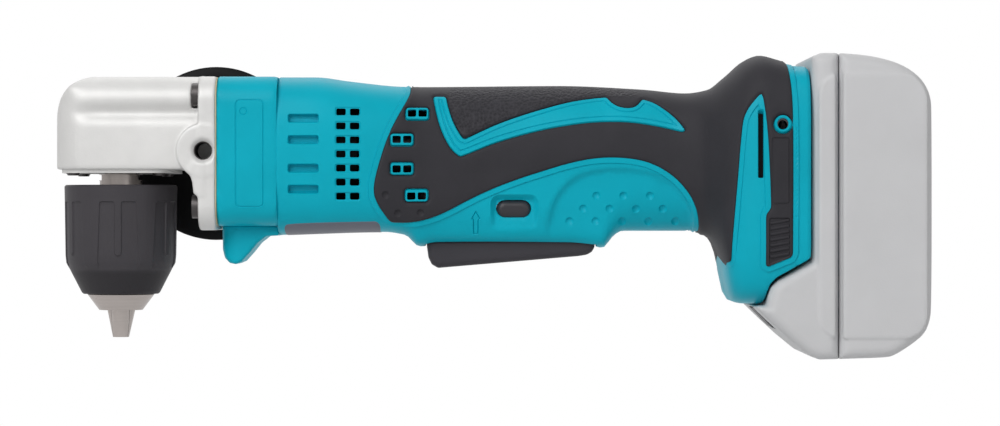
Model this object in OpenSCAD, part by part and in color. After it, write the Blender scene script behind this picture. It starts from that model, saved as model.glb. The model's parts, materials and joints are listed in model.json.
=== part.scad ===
// Right angle drill with a keyless chuck, paddle switch, side grip and slide-on battery.
// The spindle is vertical and the motor lies along the body.
// Origin: mouth of the closed chuck on the spindle axis. +X runs to the battery, +Z up.

/* [Gear head] */
// front of the head ahead of the spindle axis
head_reach = 22; // [20:0.5:26]
// width of the head across the spindle
head_w = 45; // [43:0.5:52]
// top of the head above the motor axis
head_top = 26.8; // [25:0.2:30]
// underside of the head below the motor axis
head_base = 6.6; // [6:0.2:9]
// radius of the upper front corner, seen from the side
head_corner_r = 17.5; // [10:0.5:20]
// spindle axis to the front face of the flange
flange_x = 30.3; // [29:0.5:36]
// thickness of the flange
flange_t = 6.2; // [5:0.2:10]
// half the height of the flange below the motor axis
flange_drop = 28.5; // [27:0.5:30]
// drilled radius of the side grip thread, for M8
side_thread_r = 3.3; // [3.2:0.05:3.5]
// depth of the side grip thread
side_thread_len = 12; // [8:0.5:14]

/* [Body] */
// length of the gear case behind the flange
case_len = 21.5; // [21:0.5:28]
// half width of the gear case and motor housing
case_half_w = 27; // [26.5:0.5:30]
// gear case to the rubber grip
motor_len = 47; // [46:1:60]
// front of the rubber grip to the battery foot
grip_len = 104.5; // [102:1:125]
// half width of the grip
grip_half_w = 20.3; // [20:0.5:26]
// top of the grip above the motor axis
grip_top = 23.6; // [23:0.2:27]
// underside of the grip below the motor axis
grip_base = 28.8; // [28:0.2:33]
// depth of the battery foot along the body
foot_len = 38.5; // [36:0.5:50]
// half width of the battery foot
foot_half_w = 38; // [36:0.5:44]
// wall of the plastic shells
wall = 2.4; // [2:0.1:3]
// thickness of the rubber over the shells
rubber_t = 1.2; // [0.8:0.1:1.6]

/* [Chuck] */
// greatest diameter of the chuck sleeve
sleeve_d = 41; // [40:0.5:46]
// motor axis to the top of the sleeve
sleeve_top = 12.1; // [12:0.1:14]
// length of the sleeve
sleeve_len = 39.6; // [39:0.5:46]
// length of the steel nose under the sleeve
nose_len = 5.9; // [5:0.1:8]
// jaws that show below the nose when closed
jaw_show = 9.9; // [7:0.1:12]
// largest bit that the jaws take
bit_max = 10; // [8:0.5:10]
// slant of the jaws to the spindle
jaw_slant = 14; // [12:0.5:15]

/* [Gears] */
// teeth of the motor pinion
pinion_teeth = 9; // [8:1:11]
// teeth of the spur gear it drives
spur_teeth = 27; // [25:1:28]
// module of the spur pair
spur_module = 0.7; // [0.65:0.01:0.72]
// teeth of the bevel pinion
bevel_pinion_teeth = 10; // [9:1:11]
// teeth of the bevel gear on the spindle
bevel_teeth = 34; // [30:1:35]
// module of the bevel pair
bevel_module = 1; // [0.9:0.01:1.02]

/* [Lever and button] */
// width of the paddle lever
lever_w = 26; // [22:0.5:28]
// depth of the lever's front end below the motor axis
lever_drop = 42.2; // [40:0.2:46]
// turn of the lever when squeezed, in degrees
lever_turn = 6; // [4:0.5:7]
// travel of the direction button to each side
button_travel = 2.5; // [1.5:0.1:3]

/* [Battery] */
// depth of the battery behind the foot
battery_depth = 42.8; // [42:0.2:55]
// half width of the battery
battery_half_w = 37.5; // [36:0.5:40]
// top of the battery above the motor axis
battery_top = 34.6; // [33:0.2:38]
// bottom of the battery below the motor axis
battery_base = 74.4; // [73:0.2:85]
// radius of one cell
cell_r = 9.1; // [8.8:0.05:9.1]
// length of one cell
cell_len = 65; // [60:0.5:66]

/* [Side grip] */
// diameter of the guard of the side grip
guard_d = 65; // [50:1:70]
// length of the side grip
side_grip_len = 112; // [90:1:130]

/* [Clearances] */
// gap round a part that turns or slides
run_gap = 0.06; // [0.04:0.01:0.1]
// gap round a part that is seated and stays put
seat_gap = 0.04; // [0.02:0.01:0.08]
// gap between separate moving bodies
part_gap = 0.35; // [0.3:0.05:0.5]

/* [Hidden] */
$fn = 48;

teal = [0.02, 0.64, 0.73];
rubber = [0.22, 0.22, 0.24];
black = [0.1, 0.1, 0.1];
cast = [0.86, 0.855, 0.85];
steel = [0.66, 0.64, 0.62];
copper = [0.75, 0.45, 0.25];
brass = [0.78, 0.66, 0.36];
pale = [0.82, 0.82, 0.83];

gasket_t = 0.4;
case_x = flange_x + flange_t + gasket_t;
shell_x = case_x + case_len;
grip_x = shell_x + motor_len;
foot_x = grip_x + grip_len;
rear_x = foot_x + foot_len;
axis_z = sleeve_top + sleeve_len + nose_len + jaw_show;
side_hole_x = flange_x + 1.8;
flange_half_w = case_half_w + 0.3;
bolt_y = 20.5;
bolt_z = 20;
bolt_r = 2.5;
module at_axis() {
    translate([0, 0, axis_z]) children();
}

// Drive: the motor turns a layshaft above it, and a bevel pinion on that turns the spindle.
shaft_z = spur_module * (pinion_teeth + spur_teeth) / 2;
gear_r = bevel_module * bevel_teeth / 2;
pinion_r = bevel_module * bevel_pinion_teeth / 2;
cone_len = sqrt(gear_r * gear_r + pinion_r * pinion_r);
bevel_face = 5.4;
chamber_r = gear_r + 1.9;
spindle_r = 6;
bearing_r = 14;
bearing_h = 8;
motor_shaft_r = 3;
pinion_shaft_r = 4;
spigot_r = 1.6;

// Outlines of the body along its length, as knots [place, value], joined by smooth curves.
top_line = [
    [shell_x, head_top + 0.2], [shell_x + 13, head_top + 0.2], [shell_x + 25.6, grip_top + 1.9],
    [grip_x - 5, grip_top + 0.2], [grip_x - 0.5, grip_top], [grip_x + 3, grip_top - rubber_t],
    [grip_x + 54.5, grip_top - rubber_t + 0.4], [foot_x - 20, grip_top - rubber_t - 0.9],
    [foot_x - 4, grip_top - rubber_t - 2.3], [foot_x + 3.5, grip_top - rubber_t - 1.2],
    [foot_x + 10.6, grip_top - rubber_t + 3.9], [foot_x + 17.8, battery_top - rubber_t - 1.2],
    [foot_x + 21.5, battery_top - rubber_t - 0.1], [foot_x + 28.5, battery_top - rubber_t - 1.8],
    [foot_x + 32, battery_top - 3.8], [rear_x, battery_top - 4.2]
];
under_line = [
    [shell_x, -grip_base - 1.5], [grip_x - 9, -grip_base - 0.4], [grip_x - 1.5, -grip_base - 1.5],
    [grip_x + 3.7, -grip_base - 4.8], [grip_x + 10, -grip_base - 3.8], [grip_x + 58, -grip_base - 4.2],
    [grip_x + 70.3, -grip_base - 5.2], [grip_x + 73.5, -grip_base - 2.2], [grip_x + 77.5, -grip_base],
    [foot_x - 1, -grip_base], [foot_x + 3.3, -grip_base - 0.6], [foot_x + 6, -grip_base - 3.7],
    [foot_x + 8, -grip_base - 9.4], [foot_x + 10, -battery_base + 24],
    [foot_x + 12.5, -battery_base + 20], [foot_x + 16, -battery_base + 19.4],
    [rear_x, -battery_base + 19.4]
];
side_line = [
    [shell_x, case_half_w], [shell_x + 13, case_half_w + 0.2], [shell_x + 30, case_half_w - 1],
    [grip_x - 2, grip_half_w + 3.2], [grip_x + 10, grip_half_w + 1], [grip_x + 35, grip_half_w],
    [grip_x + 70, grip_half_w - 0.3], [foot_x - 12, grip_half_w - 0.7], [foot_x, grip_half_w + 1.6],
    [foot_x + 5, grip_half_w + 6.5], [foot_x + 11, foot_half_w - 4.5], [foot_x + 17, foot_half_w - 1],
    [foot_x + 24, foot_half_w], [rear_x, foot_half_w]
];
// Squareness of the section: 2 is an ellipse, larger is nearer to a rectangle.
square_top = [
    [shell_x, 3.6], [grip_x - 20, 3.2], [grip_x + 10, 2.5], [foot_x - 10, 2.5], [foot_x + 15, 4.5],
    [rear_x, 6]
];
square_low = [
    [shell_x, 3.6], [grip_x - 20, 3.4], [grip_x + 5, 4.5], [grip_x + 70, 4.5], [grip_x + 85, 2.8],
    [foot_x - 5, 2.8], [foot_x + 10, 4.5], [rear_x, 7]
];
// Places along the body where its section is drawn, closer where the outline turns.
stations = concat(
    [for (x = [shell_x : 6.5 : grip_x - 7]) x],
    [for (x = [grip_x - 5 : 2 : grip_x + 6]) x],
    [for (x = [grip_x + 10 : 9.5 : grip_x + 67]) x],
    [for (x = [grip_x + 70.3 : 1.8 : grip_x + 78]) x],
    [for (x = [grip_x + 84 : 6 : foot_x - 3]) x],
    [for (x = [foot_x : 2 : foot_x + 16]) x],
    [for (x = [foot_x + 19 : 4 : rear_x - 2.5]) x],
    [rear_x]
);
section_steps = 16;

// Smooth curve through knots that never overshoots them.
function knot_slope(k, i) = (k[i + 1][1] - k[i][1]) / (k[i + 1][0] - k[i][0]);
function knot_tangent(k, i) =
    i == 0 ? knot_slope(k, 0) :
    i == len(k) - 1 ? knot_slope(k, i - 1) :
    let (a = knot_slope(k, i - 1), b = knot_slope(k, i)) a * b <= 0 ? 0 : 2 * a * b / (a + b);
function knot_span(k, x, i = 0) = i >= len(k) - 2 || x < k[i + 1][0] ? i : knot_span(k, x, i + 1);
function curve(k, x) =
    let (
        i = knot_span(k, x),
        h = k[i + 1][0] - k[i][0],
        t = min(1, max(0, (x - k[i][0]) / h))
    )
    (1 + 2 * t) * (1 - t) * (1 - t) * k[i][1] + t * (1 - t) * (1 - t) * h * knot_tangent(k, i)
    + t * t * (3 - 2 * t) * k[i + 1][1] - t * t * (1 - t) * h * knot_tangent(k, i + 1);

// One point of the body's left half: a = 0 at the top seam, 180 at the bottom seam.
function body_point(x, a, inset, seam = 0) =
    let (
        top = curve(top_line, x) - inset,
        low = curve(under_line, x) + inset,
        half = curve(side_line, x) - inset,
        n = a <= 90 ? curve(square_top, x) : curve(square_low, x)
    )
    [
        x,
        a == 0 || a == 180 ? seam : -half * pow(sin(a), 2 / n),
        (top + low) / 2 + (top - low) / 2 * sign(cos(a)) * pow(abs(cos(a)), 2 / n)
    ];

// Half width of the body at a place in the side view.
function body_half(x, z) =
    let (
        top = curve(top_line, x),
        low = curve(under_line, x),
        n = z > (top + low) / 2 ? curve(square_top, x) : curve(square_low, x),
        rise = min(1, abs(2 * z - top - low) / (top - low))
    )
    curve(side_line, x) * pow(1 - pow(rise, n), 1 / n);

// Left half of a layer of the body between two depths under its surface.
module body_layer(outer, inner, x0, x1, seam = 0) {
    xs = concat([x0], [for (x = stations) if (x > x0 + 0.4 && x < x1 - 0.4) x], [x1]);
    m = section_steps;
    ring = 2 * (m + 1);
    points = [for (x = xs) each concat(
        [for (j = [0 : m]) body_point(x, j * 180 / m, outer, seam)],
        [for (j = [m : -1 : 0]) body_point(x, j * 180 / m, inner, seam)]
    )];
    walls = [for (i = [0 : len(xs) - 2]) for (j = [0 : ring - 1])
        let (
            a = i * ring + j,
            b = i * ring + (j + 1) % ring,
            c = (i + 1) * ring + (j + 1) % ring,
            d = (i + 1) * ring + j
        ) each j > m ? [[a, d, b], [d, c, b]] : [[a, c, b], [a, d, c]]];
    last = (len(xs) - 1) * ring;
    front = [for (j = [0 : m - 1]) each [[j, j + 1, ring - 1 - j], [j + 1, ring - 2 - j, ring - 1 - j]]];
    back = [for (f = front) [last + f[0], last + f[2], last + f[1]]];
    polyhedron(points = points, faces = concat(walls, front, back), convexity = 8);
}

// Smooth closed curve through hand-placed points.
function spline_point(a, b, c, d, t) =
    0.5 * (2 * b + (c - a) * t + (2 * a - 5 * b + 4 * c - d) * t * t + (3 * b - a - 3 * c + d) * t * t * t);
function spline(p, steps) = [for (i = [0 : len(p) - 2]) for (s = [0 : steps - 1])
    spline_point(p[max(0, i - 1)], p[i], p[i + 1], p[min(len(p) - 1, i + 2)], s / steps)];

// Extrudes a side view (X right, Z up) across the body.
module across(y0, y1) {
    translate([0, y1, 0]) rotate([90, 0, 0]) linear_extrude(y1 - y0) children();
}
// Turns a profile drawn as [radius, height] or a round shape so that it runs along X or Y.
module along_x() {
    rotate([0, 90, 0]) children();
}
module along_y() {
    rotate([-90, 0, 0]) children();
}
// Rod along X or Y between two places.
module rod_x(r, x0, x1) {
    translate([x0, 0, 0]) along_x() cylinder(r = r, h = x1 - x0);
}
module rod_y(r, y0, y1) {
    translate([0, y0, 0]) along_y() cylinder(r = r, h = y1 - y0);
}
module tube_x(r, bore, x0, x1) {
    difference() {
        rod_x(r, x0, x1);
        rod_x(bore, x0 - 1, x1 + 1);
    }
}
module block(lo, hi) {
    translate(lo) cube(hi - lo);
}
// Rectangle between two corners with rounded corners.
module round_rect(lo, hi, r) {
    translate([lo[0] + r, lo[1]]) square([hi[0] - lo[0] - 2 * r, hi[1] - lo[1]]);
    translate([lo[0], lo[1] + r]) square([hi[0] - lo[0], hi[1] - lo[1] - 2 * r]);
    for (x = [lo[0] + r, hi[0] - r], y = [lo[1] + r, hi[1] - r]) translate([x, y]) circle(r = r);
}
// Slot with round ends, centred, long side along the first axis.
module slot_shape(len, h) {
    square([len - h, h], center = true);
    for (s = [-1, 1]) translate([s * (len - h) / 2, 0]) circle(d = h);
}

// Involute spur teeth, drawn tooth by tooth.
pressure = 25;
tooth_slack = 0.08;
function inv(a) = tan(a) - a * PI / 180;
function flank_angle(r, base, pitch, z) =
    (PI / 2 / z - tooth_slack / pitch + inv(pressure) - (r > base ? inv(acos(base / r)) : 0)) * 180 / PI;
module spur_shape(z, module_mm, tip_share) {
    pitch = module_mm * z / 2;
    base = pitch * cos(pressure);
    root = pitch - 1.2 * module_mm;
    tip = pitch + tip_share * module_mm;
    low = max(base, root + 0.05);
    radii = [for (i = [0 : 3]) low + (tip - low) * i / 3];
    polygon([for (t = [0 : z - 1]) let (mid = t * 360 / z) each concat(
        [root * [cos(mid - flank_angle(low, base, pitch, z)), sin(mid - flank_angle(low, base, pitch, z))]],
        [for (r = radii) let (a = mid - flank_angle(r, base, pitch, z)) r * [cos(a), sin(a)]],
        [for (i = [3 : -1 : 0])
            let (r = radii[i], a = mid + flank_angle(r, base, pitch, z)) r * [cos(a), sin(a)]],
        [root * [cos(mid + flank_angle(low, base, pitch, z)), sin(mid + flank_angle(low, base, pitch, z))]]
    )]);
}

// Straight bevel teeth on a cone with its point at the origin, opening along +Z.
function cone_inv(a, base) =
    let (roll = acos(min(1, cos(a) / cos(base)))) roll / sin(base) - atan2(tan(roll), sin(base));
function cone_spot(r, tilt, turn) = r * [sin(tilt) * cos(turn), sin(tilt) * sin(turn), cos(tilt)];
module bevel_teeth_solid(z, pitch_tilt, add, ded) {
    base = asin(sin(pitch_tilt) * cos(20));
    low = max(base + 0.01, pitch_tilt - ded);
    tilts = [for (i = [0 : 2]) low + (pitch_tilt + add - low) * i / 2];
    slack = tooth_slack / (cone_len * sin(pitch_tilt)) * 180 / PI;
    function half(tilt) = 90 / z - slack + cone_inv(pitch_tilt, base) - cone_inv(tilt, base);
    marks = [for (t = [0 : z - 1]) let (mid = t * 360 / z) each concat(
        [[pitch_tilt - ded, mid - half(low)]],
        [for (a = tilts) [a, mid - half(a)]],
        [for (i = [2 : -1 : 0]) [tilts[i], mid + half(tilts[i])]],
        [[pitch_tilt - ded, mid + half(low)]]
    )];
    n = len(marks);
    near = cone_len - bevel_face;
    points = concat(
        [for (m = marks) cone_spot(near, m[0], m[1])],
        [for (m = marks) cone_spot(cone_len, m[0], m[1])],
        [[0, 0, near * cos(pitch_tilt - ded) + 0.4], [0, 0, cone_len * cos(pitch_tilt - ded) + 0.8]]
    );
    faces = concat(
        [for (i = [0 : n - 1]) let (k = (i + 1) % n) each [[i, k, n + k], [i, n + k, n + i]]],
        [for (i = [0 : n - 1]) [i, 2 * n, (i + 1) % n]],
        [for (i = [0 : n - 1]) [n + i, n + (i + 1) % n, 2 * n + 1]]
    );
    polyhedron(points = points, faces = [for (f = faces) [f[0], f[2], f[1]]], convexity = 10);
}
gear_tilt = atan2(gear_r, pinion_r);
tooth_add = atan2(0.9 * bevel_module, cone_len);
tooth_ded = atan2(1.15 * bevel_module, cone_len);

// Gear head.
module head_side() {
    difference() {
        translate([-head_reach, -head_base]) square([head_reach + flange_x + 0.3, head_base + head_top]);
        translate([-head_reach, head_top - head_corner_r]) difference() {
            translate([-1, 0]) square([head_corner_r + 1, head_corner_r + 1]);
            translate([head_corner_r, 0]) circle(r = head_corner_r);
        }
    }
}
module head_plan() {
    round_rect([-head_reach, -head_w / 2], [flange_x + 12, head_w / 2], head_w / 4);
}
// Section across the head: a broad gear chamber with a narrower ridge on top.
shoulder_z = 12.5;
module head_section() {
    round_rect([-head_w / 2, -head_base - 12], [head_w / 2, shoulder_z], 5);
    round_rect([-head_w / 2 + 3.5, -head_base], [head_w / 2 - 3.5, head_top], 8.5);
}
module flange_shape(drop, rise, half_w, r) {
    round_rect([-half_w, -drop], [half_w, rise], r);
}
module extrude_x(x0, x1) {
    translate([x0, 0, 0]) rotate([90, 0, 90]) linear_extrude(x1 - x0) children();
}
// Front face of the seat of the pinion's bearing: the chamber ends here and the flange begins.
seat_x = 20.5;
module head_casting() {
    difference() {
        union() {
            intersection() {
                across(-head_w, head_w) head_side();
                translate([0, 0, -head_base - 1]) linear_extrude(head_base + head_top + 2) head_plan();
                extrude_x(-head_reach - 1, flange_x + 1) head_section();
            }
            extrude_x(flange_x, flange_x + flange_t) flange_shape(flange_drop, head_top, flange_half_w, 9);
            across(-head_w / 2 + 3, head_w / 2 - 3)
                polygon([[flange_x - 8, -head_base + 1], [flange_x - 4, -9.2], [flange_x - 2.7, -15],
                         [flange_x, -16], [flange_x + 1, -16], [flange_x + 1, -head_base + 1]]);
            intersection() {
                translate([side_hole_x, 0, 0]) rod_y(9.2, -flange_half_w, flange_half_w);
                block([0, -50, -20], [flange_x + flange_t, 50, 20]);
            }
        }
        translate([0, 0, -head_base - 1]) cylinder(r = chamber_r, h = head_base + 1 + shaft_z - 2);
        cylinder(r = spindle_r + 1.5, h = shaft_z + 5.5);
        translate([0, 0, shaft_z]) rod_x(pinion_r + 2.4, 0, seat_x + 0.5);
        translate([0, 0, shaft_z]) rod_x(11, seat_x, flange_x + flange_t + 1);
        translate([0, 0, shaft_z + 5]) cylinder(r = 6, h = 6);
        for (s = [-1, 1]) translate([side_hole_x, 0, 0])
            rod_y(side_thread_r, s > 0 ? flange_half_w - side_thread_len : -flange_half_w - 1,
                  s > 0 ? flange_half_w + 1 : -flange_half_w + side_thread_len);
        for (y = [-bolt_y, bolt_y], z = [-bolt_z, bolt_z]) translate([0, y, z]) {
            rod_x(bolt_r + seat_gap, flange_x - 4, flange_x + flange_t + 1);
            rod_x(4.9, flange_x - 4.2, flange_x);
        }
        for (p = box_screw_at) translate([p[0], p[1], -head_base - 1]) cylinder(r = 1.3, h = 9);
    }
}
module gear_head() {
    color(cast) at_axis() intersection() {
        head_casting();
        block([-head_reach - 1, -50, -50], [seat_x, 50, 50]);
    }
}
module head_flange() {
    color(cast) at_axis() intersection() {
        head_casting();
        block([seat_x, -50, -50], [flange_x + flange_t + 1, 50, 50]);
    }
}
box_screw_in = 6.5;
box_screw_at = [for (x = [-1, 1], y = [-1, 1])
    [x * (head_reach - box_screw_in), y * (head_w / 2 - box_screw_in)]];
plate_t = 1.3;
module bearing_box() {
    color(cast) at_axis() difference() {
        union() {
            translate([0, 0, -head_base - plate_t]) linear_extrude(plate_t)
                round_rect([-head_reach + 2, -head_w / 2 + 2], [head_reach - 0.7, head_w / 2 - 2],
                           head_w / 4 - 2);
            translate([0, 0, -head_base - 0.1]) cylinder(r = chamber_r - seat_gap, h = bearing_h + 0.1);
        }
        translate([0, 0, -head_base]) cylinder(r = bearing_r, h = bearing_h + 1);
        translate([0, 0, -head_base - plate_t - 1]) cylinder(r = 9.5, h = plate_t + 2);
        for (p = box_screw_at) translate([p[0], p[1], -head_base - plate_t - 1])
            cylinder(r = 1.5, h = plate_t + bearing_h + 2);
    }
}
module box_screws() {
    color(steel) at_axis() for (p = box_screw_at) translate([p[0], p[1], -head_base - plate_t]) {
        translate([0, 0, -0.9]) cylinder(r1 = 1.9, r2 = 2.5, h = 0.9);
        cylinder(r = 1.25, h = plate_t + 7);
    }
}
module head_gasket() {
    color(brass) at_axis() difference() {
        extrude_x(flange_x + flange_t, case_x)
            flange_shape(flange_drop - 1.6, head_top - 0.3, case_half_w - 0.3, 9);
        translate([0, 0, shaft_z]) rod_x(11, flange_x, case_x + 1);
        for (y = [-bolt_y, bolt_y], z = [-bolt_z, bolt_z]) translate([0, y, z])
            rod_x(bolt_r + 0.1, flange_x, case_x + 1);
        rod_x(6, flange_x, case_x + 1);
    }
}
spigot_half_w = case_half_w - wall - 1.4;
module gear_case() {
    color(teal) at_axis() difference() {
        union() {
            extrude_x(case_x, shell_x) flange_shape(case_half_w, head_top, case_half_w, 10);
            extrude_x(shell_x, shell_x + 2.4) flange_shape(spigot_half_w, spigot_half_w, spigot_half_w, 14);
            rod_x(13, shell_x, shell_x + 8);
        }
        translate([0, 0, shaft_z]) rod_x(11, case_x - 1, case_x + 13.5);
        rod_x(6, case_x - 1, case_x + 13.5);
        translate([0, 0, shaft_z]) rod_x(5, case_x, shell_x - 0.4);
        rod_x(4.4, case_x, shell_x + 3);
        rod_x(9.5, shell_x + 1.9, shell_x + 9);
        for (y = [-bolt_y, bolt_y], z = [-bolt_z, bolt_z]) translate([0, y, z])
            rod_x(bolt_r + seat_gap, case_x - 1, case_x + 16);
        for (s = [-1, 1]) translate([case_x + 6.4, s * (case_half_w - 0.25), -18])
            block([0, s > 0 ? 0 : -1, 0], [9.6, s > 0 ? 1 : 0, 37]);
    }
}
module head_bolts() {
    color(steel) at_axis()
    for (y = [-bolt_y, bolt_y], z = [-bolt_z, bolt_z]) translate([0, y, z]) difference() {
        union() {
            rod_x(4.2, flange_x - 3, flange_x);
            rod_x(bolt_r, flange_x - 1, case_x + 15);
        }
        translate([flange_x - 4, 0, 0]) along_x() cylinder(r = 2.3, h = 2.8, $fn = 6);
    }
}

// Rubber grip seen from the side.
grip_edge = [
    [grip_x + 0.3, 34], [grip_x + 0.2, 19.3], [grip_x - 6.6, 7.4], [grip_x - 10.7, -4.6],
    [grip_x - 12.9, -14], [grip_x - 10.9, -19.5], [grip_x - 6.6, -24.9], [grip_x + 0.6, -25.5],
    [grip_x + 12.6, -22.2], [grip_x + 31.8, -12.8], [grip_x + 56, -4.8], [grip_x + 74.5, -2.3],
    [grip_x + 84, -3.3], [grip_x + 96.7, -10.3], [foot_x - 1, -20.9], [foot_x, -28.4], [foot_x, -40.2]
];
// Bare band in the rubber.
band_low = [
    [grip_x + 8.7, 19], [grip_x + 11.1, 8.9], [grip_x + 15.5, 0.2], [grip_x + 18.4, -2.2],
    [grip_x + 22.2, -0.8], [grip_x + 47.2, 7.3], [grip_x + 70, 10.3], [grip_x + 88.4, 8.9],
    [foot_x - 6, 6.6]
];
band_high = [
    [foot_x - 5.1, 7.1], [foot_x - 11.5, 13.9], [foot_x - 20.4, 18.1], [foot_x - 23, 15.3],
    [foot_x - 26.2, 14.9], [foot_x - 29.4, 15.6], [foot_x - 33.1, 18.8], [foot_x - 48.2, 16.9],
    [grip_x + 31.8, 9.3], [grip_x + 20, 3.8], [grip_x + 16, 9.8], [grip_x + 13.3, 19]
];
window_at = [[grip_x + 3.2, 12.9], [grip_x - 2.2, 3.8], [grip_x - 2.2, -6.4], [grip_x + 3, -15.8]];
module grip_shape() {
    difference() {
        polygon(concat(
            spline(grip_edge, 2),
            [[foot_x, -40.2], [foot_x + 10.6, -40.2], [foot_x + 12.8, -9.8], [foot_x + 14.9, 13],
             [foot_x + 20.9, 20], [foot_x + 23.1, 6.4], [foot_x + 24.2, -20.7], [foot_x + 22.4, -22.5],
             [foot_x + 22.4, -41.4], [foot_x + 32, -37], [foot_x + 32, 45], [grip_x + 0.3, 45]]
        ));
        polygon(concat(spline(band_low, 2), spline(band_high, 2), [band_high[len(band_high) - 1]]));
        for (p = window_at) translate(p) square([9.2, 5.2], center = true);
        translate([hook_x, hook_z]) circle(r = 4.4, $fn = 12);
    }
}
module grip_skin() {
    intersection() {
        body_layer(-rubber_t, -seat_gap, shell_x + 20, rear_x - 3);
        across(-50, 10) grip_shape();
    }
}
module left_grip() {
    color(rubber) at_axis() grip_skin();
}
module right_grip() {
    color(rubber) at_axis() mirror([0, 1, 0]) difference() {
        grip_skin();
        for (p = screw_at) translate([p[0], 0, p[1]]) rod_y(3.5, -60, -8);
    }
}

// Plastic shells. The left one takes the screws, the right one holds their heads.
screw_at = [
    [shell_x + 11.6, 20.6], [shell_x + 11.6, -23.5], [grip_x - 9, -23], [grip_x + 35, 14.6],
    [grip_x + 81, -20.5], [grip_x + 81, 12.6], [foot_x + 13.5, 21], [foot_x + 16, -46.5]
];
boss_r = 3.7;
screw_head_r = 2.9;
boss_cover = 1.2;
function boss_depth(p) =
    min([for (a = [0 : 45 : 315]) body_half(p[0] + boss_r * cos(a), p[1] + boss_r * sin(a))]) - boss_cover;
rail_half_w = foot_half_w - 11;
rail_neck_half_w = foot_half_w - 15.8;
terminal_half_w = foot_half_w - 18;
blade_y = 11;
hook_x = foot_x + 28.5;
hook_z = 8.9;
hook_r = 1.65;
hook_len = 8.5;
lever_x = grip_x + 6.3;
lever_end = grip_x + 67.3;
pivot_x = grip_x + 62.6;
pivot_z = -grip_base - 0.9;
pin_r = 1.5;
button_x = grip_x + 37.8;
button_z = -20.9;
button_half = curve(side_line, button_x) - 0.8;
nose_x = case_x + 1;
nose_z = -case_half_w - 0.4;
// The nose runs up into the wall of the shell behind it.
nose_root = max(nose_z, curve(under_line, shell_x) + wall);
vent_z = [for (i = [-3 : 3]) -1.2 + i * 5.1];
battery_edge = [
    [22.6, -63], [22.6, -54.5], [23.2, -51.2], [24.2, -48], [26.4, -45.6], [29, -44.1], [41, -37.2]
];
module nose_shape() {
    polygon(concat(
        [[shell_x + 3, nose_z - 2.4], [shell_x + 3, nose_root], [shell_x + 1, nose_root],
         [shell_x + 1, nose_z], [nose_x, nose_z]],
        spline([[nose_x, nose_z - 6], [nose_x + 0.6, nose_z - 10], [nose_x + 2.4, nose_z - 12.8],
                [nose_x + 4.8, nose_z - 13.4], [nose_x + 7.7, nose_z - 12.1], [nose_x + 9.9, nose_z - 9.4],
                [nose_x + 12.8, nose_z - 5.8], [nose_x + 16, nose_z - 3.4], [shell_x + 1, nose_z - 2.8]], 3),
        [[shell_x + 1, nose_z - 2.8]]
    ));
}
module shell_half() {
    difference() {
        union() {
            body_layer(0, wall, shell_x, rear_x);
            intersection() {
                across(-14, 0) nose_shape();
                translate([0, 0, -60]) linear_extrude(60)
                    round_rect([nose_x - 0.01, -14], [shell_x + 30, 14], 9);
            }
            for (x = [grip_x - 10, grip_x + 6])
                block([x - 1.2, -curve(side_line, x) + 1.9, -8], [x + 1.2, -16, 8]);
            block([grip_x + 48, -grip_half_w + 1.4, -14], [grip_x + 72, -9.1, -11]);
            block([foot_x + 18, -foot_half_w + 2, -8], [foot_x + 26, -terminal_half_w - 0.2, -4]);
            intersection() {
                block([rear_x - 4.4, -foot_half_w, -36], [rear_x, -rail_neck_half_w - 0.4, 27]);
                body_layer(0.8, wall * 8, rear_x - 5, rear_x);
            }
            translate([hook_x, 0, hook_z]) rod_y(5, -foot_half_w + 1.2, -foot_half_w + 0.4 + hook_len);
            for (p = screw_at) translate([p[0], 0, p[1]]) rod_y(boss_r, -boss_depth(p), 0);
        }
        rod_x(18 + seat_gap, grip_x - 20, grip_x + 20);
        across(-60, 5) polygon(concat([for (p = battery_edge) p + [foot_x, 0]],
            [[foot_x + 60, -37.2], [foot_x + 60, -90], [foot_x + 22.6, -90]]));
        block([lever_x - 0.5, -lever_w / 2 - 0.4, -60], [lever_end + 0.6, 5, -grip_base + 2.2]);
        for (z = vent_z, x = [shell_x + 23.1, shell_x + 27.8])
            block([x - 1.8, -40, z - 1.2], [x + 1.8, -19, z + 1.2]);
        for (z = [11.5, 3.9, -5.8, -13.8])
            block([shell_x + 4.1, -40, z - 1.5], [shell_x + 15.1, -case_half_w + 1.9, z + 1.5]);
        for (p = window_at) translate([p[0], 0, p[1]]) block([-4, -40, -1.9], [4, -18.2, 1.9]);
        across(-40, -12) translate([button_x, button_z]) slot_shape(12.6 + 2 * part_gap, 6.4 + 2 * part_gap);
        across(-40, -button_half + 1.2) translate([button_x, button_z])
            round_rect([-8.1, -5.4], [8.1, 5.4], 4);
        block([foot_x + 19.7, -60, -9.9], [foot_x + 21.6, -foot_half_w + 1.6, 14.2]);
        translate([hook_x, 0, hook_z]) rod_y(2.9 + seat_gap, -60, -20);
        translate([pivot_x, 0, pivot_z]) rod_y(pin_r + seat_gap, -lever_w / 2 - 1.9, 1);
        translate([nose_x, 0, nose_z - 6]) rod_x(3 + seat_gap, -1, 7);
    }
}
module left_shell() {
    color(teal) at_axis() difference() {
        shell_half();
        for (p = screw_at) translate([p[0], 0, p[1]]) rod_y(1.5 + seat_gap, -boss_depth(p) + 1.5, 1);
    }
}
module right_shell() {
    color(teal) at_axis() mirror([0, 1, 0]) difference() {
        shell_half();
        for (p = screw_at) translate([p[0], 0, p[1]]) {
            rod_y(1.5 + seat_gap, -60, 1);
            rod_y(screw_head_r + 0.2, -60, -boss_depth(p) + 3);
        }
    }
}
module shell_screws() {
    color(steel) at_axis() for (p = screw_at) translate([p[0], 0, p[1]]) difference() {
        union() {
            rod_y(screw_head_r, boss_depth(p) - 3, boss_depth(p) - 0.8);
            rod_y(1.5, -boss_depth(p) + 2, boss_depth(p) - 2);
        }
        translate([0, boss_depth(p) - 1.9, 0]) along_y() cylinder(r = 1.3, h = 2, $fn = 6);
    }
}
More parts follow.
